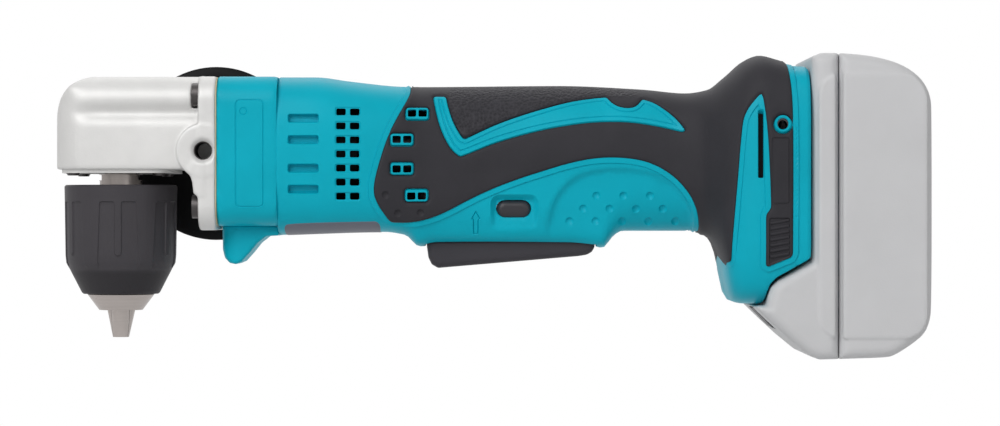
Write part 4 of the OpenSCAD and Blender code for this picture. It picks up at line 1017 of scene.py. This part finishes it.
def shell_reliefs(skin, relief, right):
    """All moulded detail of one half of the body."""
    lip, dip, found = relief.lip, relief.dimple, Detail(skin)
    found.add(soften(RUBBER_EDGE, 1.3), [(-1, 0), (-0.2, 0), (0, lip), (1.8, lip), (2.05, 0)], spacing=0.8)
    found.add(soften(BAND_EDGE, 0.8), [
        (-2.1, 0.95), (-1.85, 0.6), (-1.65, 0.6), (-1.4, 0.95), (-0.3, 0.95), (0, 0.6), (0.15, 0)],
        spacing=0.6)
    found.add(soften(THUMB, 3), [(-2.6, -1.7), (-1.6, -1.45), (-0.7, -0.6), (0.2, 0)], spacing=1.0,
              gain=lambda p: fade(p, -32, -24), straight=True)
    found.add(box_outline(143.5, -22.2, 17.3, 13.2, 3.2),
              [(-2.0, -1.0), (-1.3, -0.78), (-0.5, -0.22), (0, 0)],
              gain=lambda p: np.maximum(0, np.abs(p[:, 1]) - 17.9), spacing=0.4, straight=True)
    found.add(box_outline(*BUTTON, 12.8, 6.6, 3.25), hole=0.0, spacing=0.3)
    found.add(soften(ARROW, 0.3, 3), [(-0.45, -0.1), (-0.25, -0.45), (0, 0)], spacing=0.25)
    found.add(box_outline(230.65, 2.15, 1.9, 24.1, 0.35), [(0, -0.2), (0.2, 0)], hole=0.0, spacing=0.4)
    found.add(ring_outline(*HOOK_HOLE, 3.1), [(-0.4, 1.1), (-0.1, 0.8), (0, 0.2), (0.1, 0)])
    found.add(ring_outline(*HOOK_HOLE, 2.0), [(0, -0.3), (0.3, 0)], hole=0.0)
    found.add(BATTERY_CUT, [(0, -0.5), (0.5, -0.1), (0.9, 0)], hole=0.0, spacing=0.8)
    for x, z in WINDOWS:
        found.add(box_outline(x, z, 8.0, 4.1, 0.9), [(-0.5, 1.05), (-0.15, 0.95), (0, 0.6), (0.1, 0)],
                  spacing=0.35)
        for shift in (-1.9, 1.9):
            found.add(box_outline(x + shift, z, 3.0, 2.5, 0.5), hole=0.0, spacing=0.3)
    for z in VENT_ROWS:
        found.add(box_outline(83.85, z, 9.2, 3.3, 0.8), [(-0.3, -0.4), (0, 0)], spacing=0.4)
        for x in (81.4, 86.3):
            found.add(box_outline(x, z, 3.4, 2.5, 0.5), hole=0.0, spacing=0.3)
    for z in SLOT_ROWS:
        found.add(box_outline(68, z, 11, 3.1, 0.7), [(-0.4, -2.7), (-0.12, -0.4), (0.12, 0)], spacing=0.35,
                  straight=True)
    for x, z in DIMPLES:
        found.add(ring_outline(x, z, 1.5), [(-1.25, -dip), (-0.8, -dip * 0.85), (-0.35, -dip * 0.5), (0, 0)])
    for x, z in SCREWS if right else ():
        found.add(ring_outline(x, z, 3.1), [(-0.3, -3.4), (-0.12, -0.35), (0.15, 0)])
    xs = np.linspace(GRIP_X + 5.8, LEVER_END + 0.6, 90)
    rim = np.stack([xs, skin.from_seam(xs, LEVER_HALF + 0.5, -1)], -1)
    low = np.stack([xs[::-1], np.full(90, np.pi + 0.2)], -1)
    found.append(Relief(np.concatenate([rim, low]), [(0, 1.0), (3, 0.75), (7, 0)], hole=0.0, lines=False,
                        upright=True))
    return found


def seam_depth(points, groove):
    """Depth of the seam between the halves."""
    return groove * ramp(np.abs(points[:, 1]), 0.45)


def body_half(relief, right):
    """One half of the moulded body."""
    skin, groove, line_x = BodySkin(), relief.groove, 243.4

    def base(p):
        front = groove * ramp(p[:, 0] - SHELL_X, 0.5)
        rear = 0.8 * ramp(REAR_X - p[:, 0], 1.3) ** 2
        line = 0.3 * ramp(np.abs(p[:, 0] - line_x), 0.4)
        return -most(seam_depth(p, groove), front, rear, line)

    more = [SHELL_X + 0.5, SHELL_X + 1.0, 243.0, line_x, 243.8, REAR_X - 0.35, REAR_X - 0.7, REAR_X - 1.3]
    points, faces = weave(skin, skin.border(SHELL_X, REAR_X), shell_reliefs(skin, relief, right),
                          skin.spots(SHELL_X, REAR_X, SKIN_STEP, more), -relief.wall, base=base)
    return (mirrored(points) if right else points), faces


def rubber_half(relief, right):
    """The rubber of one half, with the mark of the grained patch."""
    skin, t = BodySkin(), relief.rubber
    found = Detail(skin)
    outline = found.add(soften(RUBBER_EDGE, 1.3), [
        (-1.2, t), (-0.8, t * 0.93), (-0.4, t * 0.72), (-0.15, t * 0.45), (0, -0.05)], spacing=0.8)
    drop = [(0, -t - 0.05), (0.15, -t * 0.55), (0.4, -t * 0.28), (0.8, -t * 0.07), (1.2, 0)]
    found.add(soften(BAND_EDGE, 0.8), drop, hole=0.0, spacing=0.6)
    found.add(ring_outline(*HOOK_HOLE, 3.3), drop[:4] + [(1.0, 0)], hole=0.0)
    for x, z in WINDOWS:
        found.add(box_outline(x, z, 8.5, 4.6, 1.1), drop, hole=0.0, spacing=0.35)
    for x, z in SCREWS if right else ():
        found.add(ring_outline(x, z, 3.5), drop, hole=0.0)
    for x, z in RUBBER_DIMPLES:
        found.add(ring_outline(x, z, 1.4), [(-1.15, -0.62), (-0.75, -0.52), (-0.35, -0.3), (0, 0)])
    found.add(soften(PAD, 0.9), [(-0.5, -0.55), (0, 0)])
    found.add(box_outline(237.6, -7.5, 6.4, 23.0, 1.0), [(-0.5, 0), (-0.3, -0.22), (-0.1, -0.22), (0.1, 0)])
    edge = outline.loop * skin.plane

    def keep(flat):
        return inside(flat * skin.plane, edge)

    def base(p):
        return -seam_depth(p, relief.groove)

    points, faces = weave(skin, skin.border(SHELL_X, REAR_X), found,
                          skin.spots(GRIP_X - 16, REAR_X, SKIN_STEP), -0.3, keep, base, thin=0.25)
    x, z = points[:, 0], points[:, 2]
    above = np.clip((z - np.interp(x, *BAND_TOP.T) - 0.5) / 0.6, 0, 1)
    grain = above * np.clip((x - 119) / 1.5, 0, 1) * np.clip((190 - x) / 4, 0, 1)
    return (mirrored(points) if right else points), faces, grain


SIDES = ((False, "left"), (True, "right"))


class DRILL_OT_body_shells(bpy.types.Operator):
    """Makes the two moulded halves of the body and the heads of their screws"""

    bl_idname = "drill.body_shells"
    bl_label = "Body shells"

    def execute(self, context):
        relief = context.scene.drill.relief
        for right, side in SIDES:
            piece = make_piece("body_shell_" + side, *body_half(relief, right), CREASE)
            fit(piece, "drill", "teal_plastic", side + "_shell")
        skin = BodySkin()
        spots = [(x, -skin.side_y(x, z) - 2.6, z) for x, z in SCREWS]
        heads = screw_tree().grow("shell_screw_heads", spots, Radius=0.0026, Height=0.0016)
        fit(heads, "drill", "dark_steel", "shell_screws")
        return {"FINISHED"}


class DRILL_OT_rubber_grips(bpy.types.Operator):
    """Makes the rubber moulded over each half, and the ribs of its pads"""

    bl_idname = "drill.rubber_grips"
    bl_label = "Rubber grips"

    def execute(self, context):
        relief = context.scene.drill.relief
        for right, side in SIDES:
            points, faces, grain = rubber_half(relief, right)
            piece = make_piece("rubber_grip_" + side, points, faces, CREASE, {"grain": grain})
            fit(piece, "drill", "rubber", side + "_grip")
        levels = np.linspace(-25.4, -37.2, relief.pad_ribs)
        spots = [(237.2, s * 38.55, z) for s in (-1, 1) for z in levels]
        ribs = rib_tree().grow("pad_ribs", spots, Length=0.0066, Rise=0.0012, Radius=0.0006)
        fit(ribs, "drill", "rubber")
        return {"FINISHED"}


def head_field(x, y, z):
    """Gear head with its ridge, flange, boss, web and bores."""
    valley = 2.0 * ease(-19, -5, x) * np.exp(-((z - 13.8) / 2.7) ** 2)
    qx, qz = x - 9, z - 10.1
    side = both(np.abs(qx) - 31.5, np.abs(qz) - 17.2, np.where((qx < 0) & (qz > 0), 16.6, 1.6))
    half = 22.8
    plan = tile(x, y, (-22.5, -half), (60, half), 14)
    end = tile(y, z, (-half, -40), (half, 27.3), 11)
    body = smooth_most(smooth_most(side, plan, 2.0), end, 1.5) + valley
    body = most(body, x - FLANGE_X - 1, z - HEAD_TOP, -6.6 - z, HEAD_X - x)
    flange = both(tile(y, z, (-HEAD_HALF, HEAD_LOW), (HEAD_HALF, HEAD_TOP), 9),
                  span(x, FLANGE_X, FLANGE_END), 0.9)
    hole = np.hypot(x - HOLE_X, z)
    boss = both(hole - 9.7, np.abs(y) - HEAD_HALF, 0.8)
    web = both(plate(x, z, [(28, -4), (26.6, -7.4), (27.6, -9), (28.3, -11.2), (28.8, -15.4), (30.5, -16.5),
                            (33, -16.5), (33, -4)]), np.abs(y) - HEAD_HALF, 0.8)
    solid = smooth_least(body, flange, 1.2)
    solid = smooth_least(smooth_least(solid, boss, 0.9), web, 0.9)
    spindle, shaft = np.hypot(x, y), np.hypot(y, z - 12.6)
    bolts = np.hypot(np.abs(y) - BOLT_Y, np.abs(z) - BOLT_Z)
    screws = np.hypot(np.abs(x) - 15.5, np.abs(y) - 16)
    thread = np.maximum(hole - 3.3 - np.maximum(0, np.abs(y) - 26.1), 12 - np.abs(y))
    solid = most(solid, x - FLANGE_END, -thread)
    for hole in (
            (spindle, 18.9, z, -12, 10.6), (spindle, 7.5, z, -12, 18.1), (spindle, 6, z, 17, 23.6),
            (shaft, 7.4, x, 0, 21), (shaft, 11, x, 20.5, 40), (bolts, 2.6, x, 29, 40),
            (bolts, 4.6, x, 27.7, FLANGE_X), (screws, 1.3, z, -12, 2)):
        solid = np.maximum(solid, -bore(*hole))
    return solid


class DRILL_OT_gear_head(bpy.types.Operator):
    """Makes the cast gear head, its bolts and the thread turns in its side hole"""

    bl_idname = "drill.gear_head"
    bl_label = "Gear head"

    def execute(self, context):
        head = carve("cast_head", (HEAD_X, -HEAD_HALF, HEAD_LOW), (FLANGE_END, HEAD_HALF, HEAD_TOP), 0.5,
                     head_field)
        fit(head, "drill", "cast_aluminium", "gear_head", "head_flange")
        spots = [(FLANGE_X - 1.2, y, z) for y in (-BOLT_Y, BOLT_Y) for z in (-BOLT_Z, BOLT_Z)]
        bolts = bolt_tree().grow(
            "flange_bolts", spots, Radius=0.0042, Height=0.0024, Shank=0.0024, Length=0.016)
        fit(bolts, "drill", "dark_steel", "head_bolts")
        depths = np.arange(-25.2, -12.2, 1.0)
        spots = np.stack([np.full(len(depths), HOLE_X), depths, 0 * depths], -1)
        wide = np.full(len(depths), 0.0033)
        thread = ring_tree().grow("side_thread_turns", spots, {"ring": wide}, Radius=0.00042)
        fit(thread, "drill", "dark_steel")
        return {"FINISHED"}


def nose_field(x, y, z):
    """Lamp nose under the gear case, with the seam of the two halves."""
    profile = plate(x, z, [
        (NOSE_X, -24), (NOSE_X, -28), (37.4, -35.4), (38.6, -38.6), (40.6, -40.4), (42.9, -40.8), (45, -39.9),
        (47.8, -36.8), (50.7, -33.2), (53.9, -30.7), (60.5, -30.3), (60.5, -24)])
    plan = tile(x, y, (NOSE_X, -NOSE_HALF), (90, NOSE_HALF), 8)
    solid = most(smooth_most(profile, plan, 1.6), x - SHELL_X + 0.1, z + 27.05)
    return np.maximum(solid + 0.3 * ramp(np.abs(y), 0.5), -bore(np.hypot(y, z - LAMP_Z), 3.05, x, 30, 45))


def lens_field(x, y, z):
    """Lens of the work light, with a shallow dome."""
    out = np.hypot(y, z - LAMP_Z)
    return both(out - 2.95, span(x, 37.7 + 0.05 * out ** 2, 43), 0.3)


class DRILL_OT_gear_case(bpy.types.Operator):
    """Makes the gear case with its bare badge panel, and under it the lamp nose with its lens"""

    bl_idname = "drill.gear_case"
    bl_label = "Gear case"

    def execute(self, context):
        skin = CaseSkin(27.0, 26.8, -27.0, 10.0)
        x0, x1 = CASE_X, SHELL_X
        border = patch_border(np.linspace(x0, x1, 16), np.linspace(0, skin.length, 70))
        found = Detail(skin)
        found.add(box_outline(48.8, -0.95, 10.7, 39.1, 2.0), [
            (-0.75, 0), (-0.55, -0.25), (-0.35, -0.25), (-0.15, 0)], spacing=0.4)
        found.add(ring_outline(46.6, 14.1, 1.5), [(-0.5, 0), (-0.28, -0.22), (0, 0)], spacing=0.25)
        spots = [(x, run) for x in np.arange(x0 + 0.7, x1, 1.5) for run in np.arange(1.0, skin.length, 1.5)]
        spots += [(x, run) for x in (x0 + 0.35, x0 + 0.7, x1 - 0.35)
                  for run in np.arange(0.5, skin.length, 1.2)]

        def base(p):
            return -np.maximum(0.7 * ramp(p[:, 0] - x0, 0.7) ** 2, 0.35 * ramp(x1 - p[:, 0], 0.5))

        points, faces = weave(skin, border, found, np.array(spots), -2.4, base=base)
        n = len(points)
        faces = [np.concatenate([block, block[:, ::-1] + n]) for block in faces]
        cover = make_piece("gear_case_cover", np.concatenate([points, mirrored(points)]), faces, CREASE)
        fit(cover, "drill", "teal_plastic", "gear_case")
        nose = carve("lamp_nose", (NOSE_X, -NOSE_HALF, -40.9), (SHELL_X, NOSE_HALF, -27), 0.4, nose_field)
        fit(nose, "drill", "teal_plastic")
        lens = carve("lamp_lens", (37.6, -3, -36.4), (43, 3, -30.4), 0.25, lens_field)
        fit(lens, "drill", "clear_lens", "led_lens")
        return {"FINISHED"}


class DRILL_OT_chuck(bpy.types.Operator):
    """Makes the chuck sleeve with its sunk finger panels, and marks its cone for painted shade"""

    bl_idname = "drill.chuck"
    bl_label = "Chuck sleeve"

    def execute(self, context):
        skin, top, low = SleeveSkin(), SLEEVE_TOP, SLEEVE_LOW
        count = 6  # panels round the sleeve
        wide = SLEEVE_R * math.pi / count
        heights = np.concatenate([np.arange(top, -12.9, -0.2), np.arange(-13.4, low + 0.6, -1.0),
                                  (low + 0.5, low + 0.25, low)])
        border = patch_border(np.linspace(-wide, wide, 25), heights)
        panel = [(-6.6, -18.2), (-1.2, -18.2), (-1.2, -37), (0, -37.9), (1.2, -37), (1.2, -18.2),
                 (6.6, -18.2), (7.7, -42.6), (-7.7, -42.6)]
        reliefs = [Relief(resample(soften(panel, 0.8), 0.4), [(-0.5, -0.5), (-0.14, -0.42), (0.12, 0)],
                          gain=lambda p: fade(p, -42.4, -41.2))]
        spots = np.array([(run, z) for z in heights[1:-1] for run in np.arange(-wide + 0.45, wide, 0.85)])
        points, faces = weave(skin, border, reliefs, spots, -2.2, thin=1.5)
        n, (x, y, z) = len(points), points.T
        whole = np.concatenate([
            np.stack([x * math.cos(t) - y * math.sin(t), x * math.sin(t) + y * math.cos(t), z], -1)
            for t in np.radians(np.arange(count) * 60.0 + 3)])
        faces = [np.concatenate([block + k * n for k in range(count)]) for block in faces]
        # painted shade: marks the cone below the panels, whose colour is darkened because it faces down
        cone = np.clip((-43.2 - whole[:, 2]) / 0.3, 0, 1)
        piece = make_piece("chuck_sleeve_cover", whole, faces, SLEEVE_CREASE, {"cone": cone})
        fit(piece, "sleeve", "dark_plastic", "chuck_sleeve", finish="sleeve_plastic")
        return {"FINISHED"}


def lever_field(x, y, z):
    """Paddle lever, hollow from above, with its pivot bore."""
    a, b = LEVER_X, LEVER_END
    outline = plate(x, z, [
        (a, -31.6), (a, -33.4), (a + 0.7, -38.4), (a + 1.9, -40.9), (a + 4.2, LEVER_LOW), (a + 6.5, -42),
        (b - 6, -37.9), (b - 3, -37.4), (b - 1.2, -36.4), (b - 0.3, -34.9), (b, -33), (b, -29.3),
        (b - 2.5, LEVER_TOP), (b - 7, LEVER_TOP), (b - 12, -27.9), (b - 22, -27.9), (b - 22, -30)])
    solid = both(outline, np.abs(y) - LEVER_HALF, 2.4)
    inner = plate(x, z, [(a + 2.4, -20), (a + 2.4, -34), (a + 4, -39.6), (b - 24, -36.6), (b - 24, -20)])
    hollow = both(inner, np.abs(y) - 10.8, 0.8)
    pin = np.hypot(x - (b - 4.7), z + 29.7) - 1.6
    return most(solid, -hollow, -pin)


class DRILL_OT_lever(bpy.types.Operator):
    """Makes the paddle lever"""

    bl_idname = "drill.lever"
    bl_label = "Paddle lever"

    def execute(self, context):
        paddle = carve("paddle", (LEVER_X, -LEVER_HALF, LEVER_LOW), (LEVER_END, LEVER_HALF, LEVER_TOP), 0.45,
                       lever_field)
        fit(paddle, "lever", "dark_plastic", "paddle_lever")
        return {"FINISHED"}


def button_field(x, y, z):
    """Direction button: a rounded bar right through the grip, with domed ends."""
    low, high = node_span("direction_button")
    middle, half = (low + high) / 2, (high - low) / 2
    reach = half[0] - half[2]
    round_ = np.hypot(np.maximum(np.abs(x - middle[0]) - reach, 0), z + AXIS - middle[2]) - half[2]
    return both(round_, np.abs(y - middle[1]) - half[1], 2.3)


class DRILL_OT_direction(bpy.types.Operator):
    """Makes the direction button"""

    bl_idname = "drill.direction"
    bl_label = "Direction button"

    def execute(self, context):
        low, high = (corner - (0, 0, AXIS) for corner in node_span("direction_button"))
        bar = carve("direction_bar", low, high, 0.35, button_field)
        fit(bar, "direction", "dark_plastic", "direction_button", finish="button_plastic")
        return {"FINISHED"}


def pack_side(x, y, z, outline, low_x):
    """Battery half: outline, rounded long edges, and a raised panel on each side."""
    solid = both(outline, np.abs(y) - 36.9, 4.0)
    panel = both(tile(x, z, (PACK_X + 2.4, -66.9), (PACK_END - 1.9, 27.3), 8.0), np.abs(y) - PACK_HALF, 0.5)
    return np.maximum(smooth_least(solid, np.maximum(panel, outline + 1.2), 0.5), low_x - x)


def bin_field(x, y, z):
    """Rear half of the battery's case."""
    e = PACK_END
    outline = plate(x, z, soften([
        (BIN_X, PACK_TOP), (e - 21.5, 33.7), (e - 10.8, 30.8), (e - 3.7, 25.8), (e - 0.4, 19.6), (e, 12.6),
        (e, -55.8), (e - 0.9, -61.7), (e - 3.3, -66.3), (e - 13.3, -73.1), (e - 17, -73.7),
        (BIN_X, PACK_SEAM_LOW)],
        0.05))
    return pack_side(x, y, z, outline, BIN_X)


def cover_field(x, y, z):
    """Front half of the battery's case, with its rails, terminal slots and the button's pocket."""
    p = PACK_X
    outline = plate(x, z, [
        (p, 33.3), (p + 3.4, PACK_TOP), (COVER_END, PACK_TOP), (COVER_END, PACK_SEAM_LOW),
        (p + 2.8, PACK_LOW), (p - 0.6, -73.1), (p - 7.6, -67.4), (p - 14.3, -61.2), (PACK_TOE, -55.5),
        (233.0, -55.2), (233.6, -51.6), (234.5, -48.5), (236.7, -46.1), (239.3, -44.6), (p, -39)])
    wide, height = np.abs(y), span(z, -36, 26.5)
    rail = both(both(wide - 27, span(x, p - 10.4, p - 5.4), 0.8), height, 0.8)
    neck = most(wide - 22.2, span(x, p - 5.6, p + 1), height)
    slot = most(np.abs(wide - 11) - 2.2, span(z, -13, 30), x - p + 2)
    pocket = most(wide - 12.4, span(z, -64, -56.3), x - p - 1.2)
    solid = np.minimum(pack_side(x, y, z, outline, 200), np.minimum(rail, neck))
    return most(solid, -slot, -pocket)


def foot_field(x, y, z):
    """Guide rails for the battery and the wall in front of its terminals."""
    wide = np.abs(y)
    guide = both(both(span(x, REAR_X - 4.4, REAR_X - 0.4), span(wide, 22.7, GUIDE_Y), 0.5),
                 span(z, -36, GUIDE_TOP), 0.8)
    wall = both(both(wide - 27, span(z, GUIDE_LOW, 16), 5), span(x, GUIDE_X, REAR_X - 23.6), 0.4)
    return np.minimum(guide, wall)


class DRILL_OT_battery(bpy.types.Operator):
    """Makes the two halves of the battery case and the rails in the foot that guide it"""

    bl_idname = "drill.battery"
    bl_label = "Battery"

    def execute(self, context):
        for name, node, field, low, high in (
                ("battery_rear", "battery_bin", bin_field, BIN_X, PACK_END),
                ("battery_front", "battery_cover", cover_field, PACK_TOE, COVER_END)):
            half = carve(name, (low, -PACK_HALF, PACK_LOW), (high, PACK_HALF, PACK_TOP), 0.75, field)
            fit(half, "battery", "pale_plastic", node)
        rails = carve("foot_rails", (GUIDE_X, -GUIDE_Y, GUIDE_LOW), (REAR_X, GUIDE_Y, GUIDE_TOP), 0.5,
                      foot_field)
        fit(rails, "drill", "teal_plastic")
        return {"FINISHED"}


class DRILL_OT_side_grip(bpy.types.Operator):
    """Makes the side grip with its guard disc, and the rings round its handle"""

    bl_idname = "drill.side_grip"
    bl_label = "Side grip"

    def execute(self, context):
        low, high = node_span("side_grip")
        start, centre = float(low[1]), float(low[0] + high[0]) / 2
        length = float(high[1]) - start
        outline = np.array([
            (10.6, 0), (11.6, 0.3), (12, 1), (12, 3), (29.5, 4.4), (31.6, 4.7), (32.4, 5.3),
            (32.4, 6.9), (31.8, 7.6), (30.3, 8.4), (18.4, 9.6), (16.2, 10.6), (15, 13), (14.1, 20),
            (15.4, 40), (16.3, 60), (15.8, 82), (14.4, length - 14), (15.6, length - 11.6),
            (17.4, length - 8.4), (17.9, length - 6.5), (17.9, length - 3.2), (17.2, length - 1.2),
            (15.6, length - 0.1), (8, length)])
        handle = slice(12, 18)  # the stretch of the outline that carries the rings
        n = 96
        turns = np.linspace(0, 2 * math.pi, n, endpoint=False)
        points = np.array([(centre + r * math.sin(t), start + y, r * math.cos(t)) for r, y in outline
                           for t in turns])
        rings = [(k * n + i, k * n + (i + 1) % n, (k + 1) * n + (i + 1) % n, (k + 1) * n + i)
                 for k in range(len(outline) - 1) for i in range(n)]
        last, ends = (len(outline) - 1) * n, len(points)
        caps = [((i + 1) % n, i, ends) for i in range(n)]
        caps += [(last + i, last + (i + 1) % n, ends + 1) for i in range(n)]
        points = np.vstack([points, (centre, start, 0), (centre, start + length, 0)])
        grip = make_piece("side_grip_body", points, [rings, caps], HANDLE_CREASE)
        fit(grip, "drill", "black_plastic", "side_grip")
        count = context.scene.drill.relief.grip_rings
        ys = np.linspace(24, length - 20, count)
        wide = np.interp(ys, outline[handle, 1], outline[handle, 0]) * 0.001
        spots = np.stack([np.full(count, centre), start + ys, np.zeros(count)], -1)
        fit(ring_tree().grow("side_grip_rings", spots, {"ring": wide}, Radius=0.0011), "drill", "rubber")
        return {"FINISHED"}


def shroud_field(x, y, z):
    """Ring between the fan and the motor can, with an eye for the air; its black closes the view through the
    vents as painted shade.
    """
    low, high = node_span("cooling_fan")[1][0] + 0.7, node_span("motor_yoke")[0][0] - 0.6
    out = np.hypot(y, z)
    ring = both(both(out - SHROUD_R, 6.5 - out, 0.3), span(x, low, high), 0.5)
    return np.minimum(ring, both(both(out - SHROUD_R, 17.9 - out, 0.2), span(x, SHROUD_X, high), 0.3))


def about_button(wide, high):
    """Corners of a rectangle about the direction button, in the side view."""
    return (BUTTON[0] - wide, BUTTON[1] - high), (BUTTON[0] + wide, BUTTON[1] + high)


def collar_field(x, y, z):
    """Two plates inside the shells that close the gap round the direction button, black as painted shade in
    the gap.
    """
    sheet, hole = tile(x, z, *about_button(*COLLAR), 2), tile(x, z, *about_button(6.4, 3.3), 3.25)
    return both(both(sheet, -hole, 0.05), span(np.abs(y), 13.2, COLLAR_Y), 0.1)


def backing_field(x, y, z):
    """Two plates behind the slots in the foot's sides, black as painted shade at the slots' bottoms."""
    return both(tile(x, z, BACK_LOW, BACK_HIGH, 0.8), span(np.abs(y), 33.6, BACK_Y), 0.2)


class DRILL_OT_small_trim(bpy.types.Operator):
    """Makes the bare rating strip, the ring behind the fan, the button's collar and the slots' backing; the
    last three are black as painted shade inside the body
    """

    bl_idname = "drill.small_trim"
    bl_label = "Small trim"

    def execute(self, context):
        skin = BodySkin()
        found = Detail(skin)
        strip = found.add(soften(STRIP, 1.0), [(-0.4, 0.15), (0, -0.02)], spacing=0.6)
        edge = strip.loop * skin.plane

        def keep(flat):
            y = np.abs(skin.place(flat[:, 0], flat[:, 1])[:, 1])
            return inside(flat * skin.plane, edge) & (y > 1.2)

        points, faces = weave(skin, skin.border(SHELL_X, 100), found, skin.spots(SHELL_X, 98, SKIN_STEP),
                              -0.2, keep, thin=0.1)
        fit(make_piece("rating_strip", points, faces, CREASE), "drill", "dark_plastic", finish="label_grey")
        (x0, z0), (x1, z1) = about_button(*COLLAR)
        for name, low, high, step, field in (
                ("fan_shroud", (SHROUD_X, -SHROUD_R, -SHROUD_R), (88, SHROUD_R, SHROUD_R), 0.5, shroud_field),
                ("button_collar", (x0, -COLLAR_Y, z0), (x1, COLLAR_Y, z1), 0.35, collar_field),
                ("slot_backing", (BACK_LOW[0], -BACK_Y, BACK_LOW[1]), (BACK_HIGH[0], BACK_Y, BACK_HIGH[1]),
                 0.4, backing_field)):
            fit(carve(name, low, high, step, field), "drill", "black_plastic")
        return {"FINISHED"}


class DRILL_OT_finishes(bpy.types.Operator):
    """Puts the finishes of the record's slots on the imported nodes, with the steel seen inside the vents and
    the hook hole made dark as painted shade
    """

    bl_idname = "drill.finishes"
    bl_label = "Finishes of packed nodes"

    def execute(self, context):
        # painted shade: parts seen through the vents and in the hook hole get dark steel so those insides
        # look shaded
        painted_shade_parts = ("hook_inserts", "motor_yoke", "armature_core")
        for part in frame["record"]["subparts"]:
            slots = frame["nodes"][part["node"]].data.materials
            material = FINISH["dark_steel" if part["node"] in painted_shade_parts else part["material_slot"]]
            if not slots:
                slots.append(material)
            for k in range(len(slots)):
                slots[k] = material
        return {"FINISHED"}


def seen_rays(tree):
    """1 for rays from the camera, off shiny faces and through glass, 0 for light that falls on the drill."""
    rays = tree.nodes.new("ShaderNodeLightPath").outputs
    total = Shade(tree, rays["Is Camera Ray"])
    for name in ("Is Glossy Ray", "Is Transmission Ray"):
        total = total + Shade(tree, rays[name])
    return total.reckon("MINIMUM", total, 1.0)


def stage_finish():
    """Pale floor that looks white to the camera and still shows a shadow."""
    f = Finish("studio floor", Roughness=0.9)
    f.feed("Base Color", f.mixed(f.noise(30.0, 3.0), (0.76, 0.76, 0.76), (0.8, 0.8, 0.8)))
    glow = f.node("ShaderNodeEmission", None, {"Color": (1.0, 1.0, 1.0, 1.0), "Strength": 1.0}, "Emission")
    centred = f.node("ShaderNodeMapping", None, {"Vector": f.place, "Location": (-0.13, 0.0, 0.0)})
    away = f.node("ShaderNodeVectorMath", {"operation": "LENGTH"}, {0: centred}, "Value")
    share = seen_rays(f.tree) * f.limited(0.66 + 0.45 * away, 0.77, 1.0)
    mix = f.tree.nodes.new("ShaderNodeMixShader")
    out = next(node for node in f.tree.nodes if node.type == "OUTPUT_MATERIAL")
    for socket, end in zip((share.socket, f.skin.outputs[0], glow.socket), mix.inputs):
        f.tree.links.new(socket, end)
    f.tree.links.new(mix.outputs[0], out.inputs[0])
    return f.material


class DRILL_OT_stage(bpy.types.Operator):
    """Sets the floor, the soft studio light and the camera"""

    bl_idname = "drill.stage"
    bl_label = "Stage"

    def execute(self, context):
        scene = context.scene
        scene.view_settings.view_transform = "Standard"
        mesh = bpy.data.meshes.new("floor")
        r, n = 6.0, 12
        grid = [(-r + 2 * r * i / n, -r + 2 * r * j / n, FLOOR_Z) for i in range(n + 1) for j in range(n + 1)]
        mesh.from_pydata(grid, [], [(i * (n + 1) + j, (i + 1) * (n + 1) + j, (i + 1) * (n + 1) + j + 1,
                                     i * (n + 1) + j + 1) for i in range(n) for j in range(n)])
        mesh.materials.append(stage_finish())
        placed("floor", mesh)
        world = bpy.data.worlds.new("studio")
        scene.world = world
        world.use_nodes = True
        tree = world.node_tree
        back = tree.nodes["Background"].inputs
        tree.links.new((0.3 + 0.7 * seen_rays(tree)).socket, back["Strength"])
        back["Color"].default_value = (1.0, 1.0, 1.0, 1.0)
        for name, place, aim, size, power in (
                ("key", (-0.42, -1.05, 0.85), (0.12, 0, 0.06), 1.0, 12.0),
                ("fill", (0.9, -1.0, 0.6), (0.15, 0, 0.04), 1.3, 2.2),
                ("rim", (0.1, 0.7, 1.1), (0.12, 0, 0.05), 1.2, 4.0)):
            lamp = bpy.data.lights.new(name, "AREA")
            lamp.shape, lamp.size, lamp.energy = "DISK", size, power
            lit = placed(name, lamp)
            lit.location = place
            lit.rotation_euler = (Vector(aim) - Vector(place)).to_track_quat("-Z", "Y").to_euler()
        camera = bpy.data.cameras.new("camera")
        camera.sensor_width, camera.lens = 36.0, 123.3
        eye = placed("camera", camera)
        eye.location = (0.1383, -1.25, 0.0452)
        eye.rotation_euler = (math.pi / 2, 0, 0)
        scene.camera = eye
        return {"FINISHED"}


class DRILL_PT_panel(bpy.types.Panel):
    """Lists the drill's settings and pieces"""

    bl_idname = "DRILL_PT_panel"
    bl_label = "Right angle drill"
    bl_space_type = "VIEW_3D"
    bl_region_type = "UI"
    bl_category = "Drill"

    def draw(self, context):
        settings = context.scene.drill
        for group in (settings.colours, settings.relief):
            for key in group.__annotations__:
                self.layout.prop(group, key)
        for step in STEPS:
            self.layout.operator(step.bl_idname)


STEPS = (DRILL_OT_body_shells, DRILL_OT_rubber_grips, DRILL_OT_gear_head, DRILL_OT_gear_case, DRILL_OT_chuck,
         DRILL_OT_lever, DRILL_OT_direction, DRILL_OT_battery, DRILL_OT_side_grip, DRILL_OT_small_trim,
         DRILL_OT_finishes, DRILL_OT_stage)
CLASSES = (DrillColours, DrillRelief, DrillSettings, *STEPS, DRILL_PT_panel)


def register():
    for kind in CLASSES:
        bpy.utils.register_class(kind)
    bpy.types.Scene.drill = PointerProperty(type=DrillSettings)


def unregister():
    del bpy.types.Scene.drill
    for kind in reversed(CLASSES):
        bpy.utils.unregister_class(kind)


def main():
    register()
    make_finishes(bpy.context.scene.drill.colours)
    for step in STEPS:
        group, name = step.bl_idname.split(".")
        getattr(getattr(bpy.ops, group), name)()


if __name__ == "__main__":
    main()
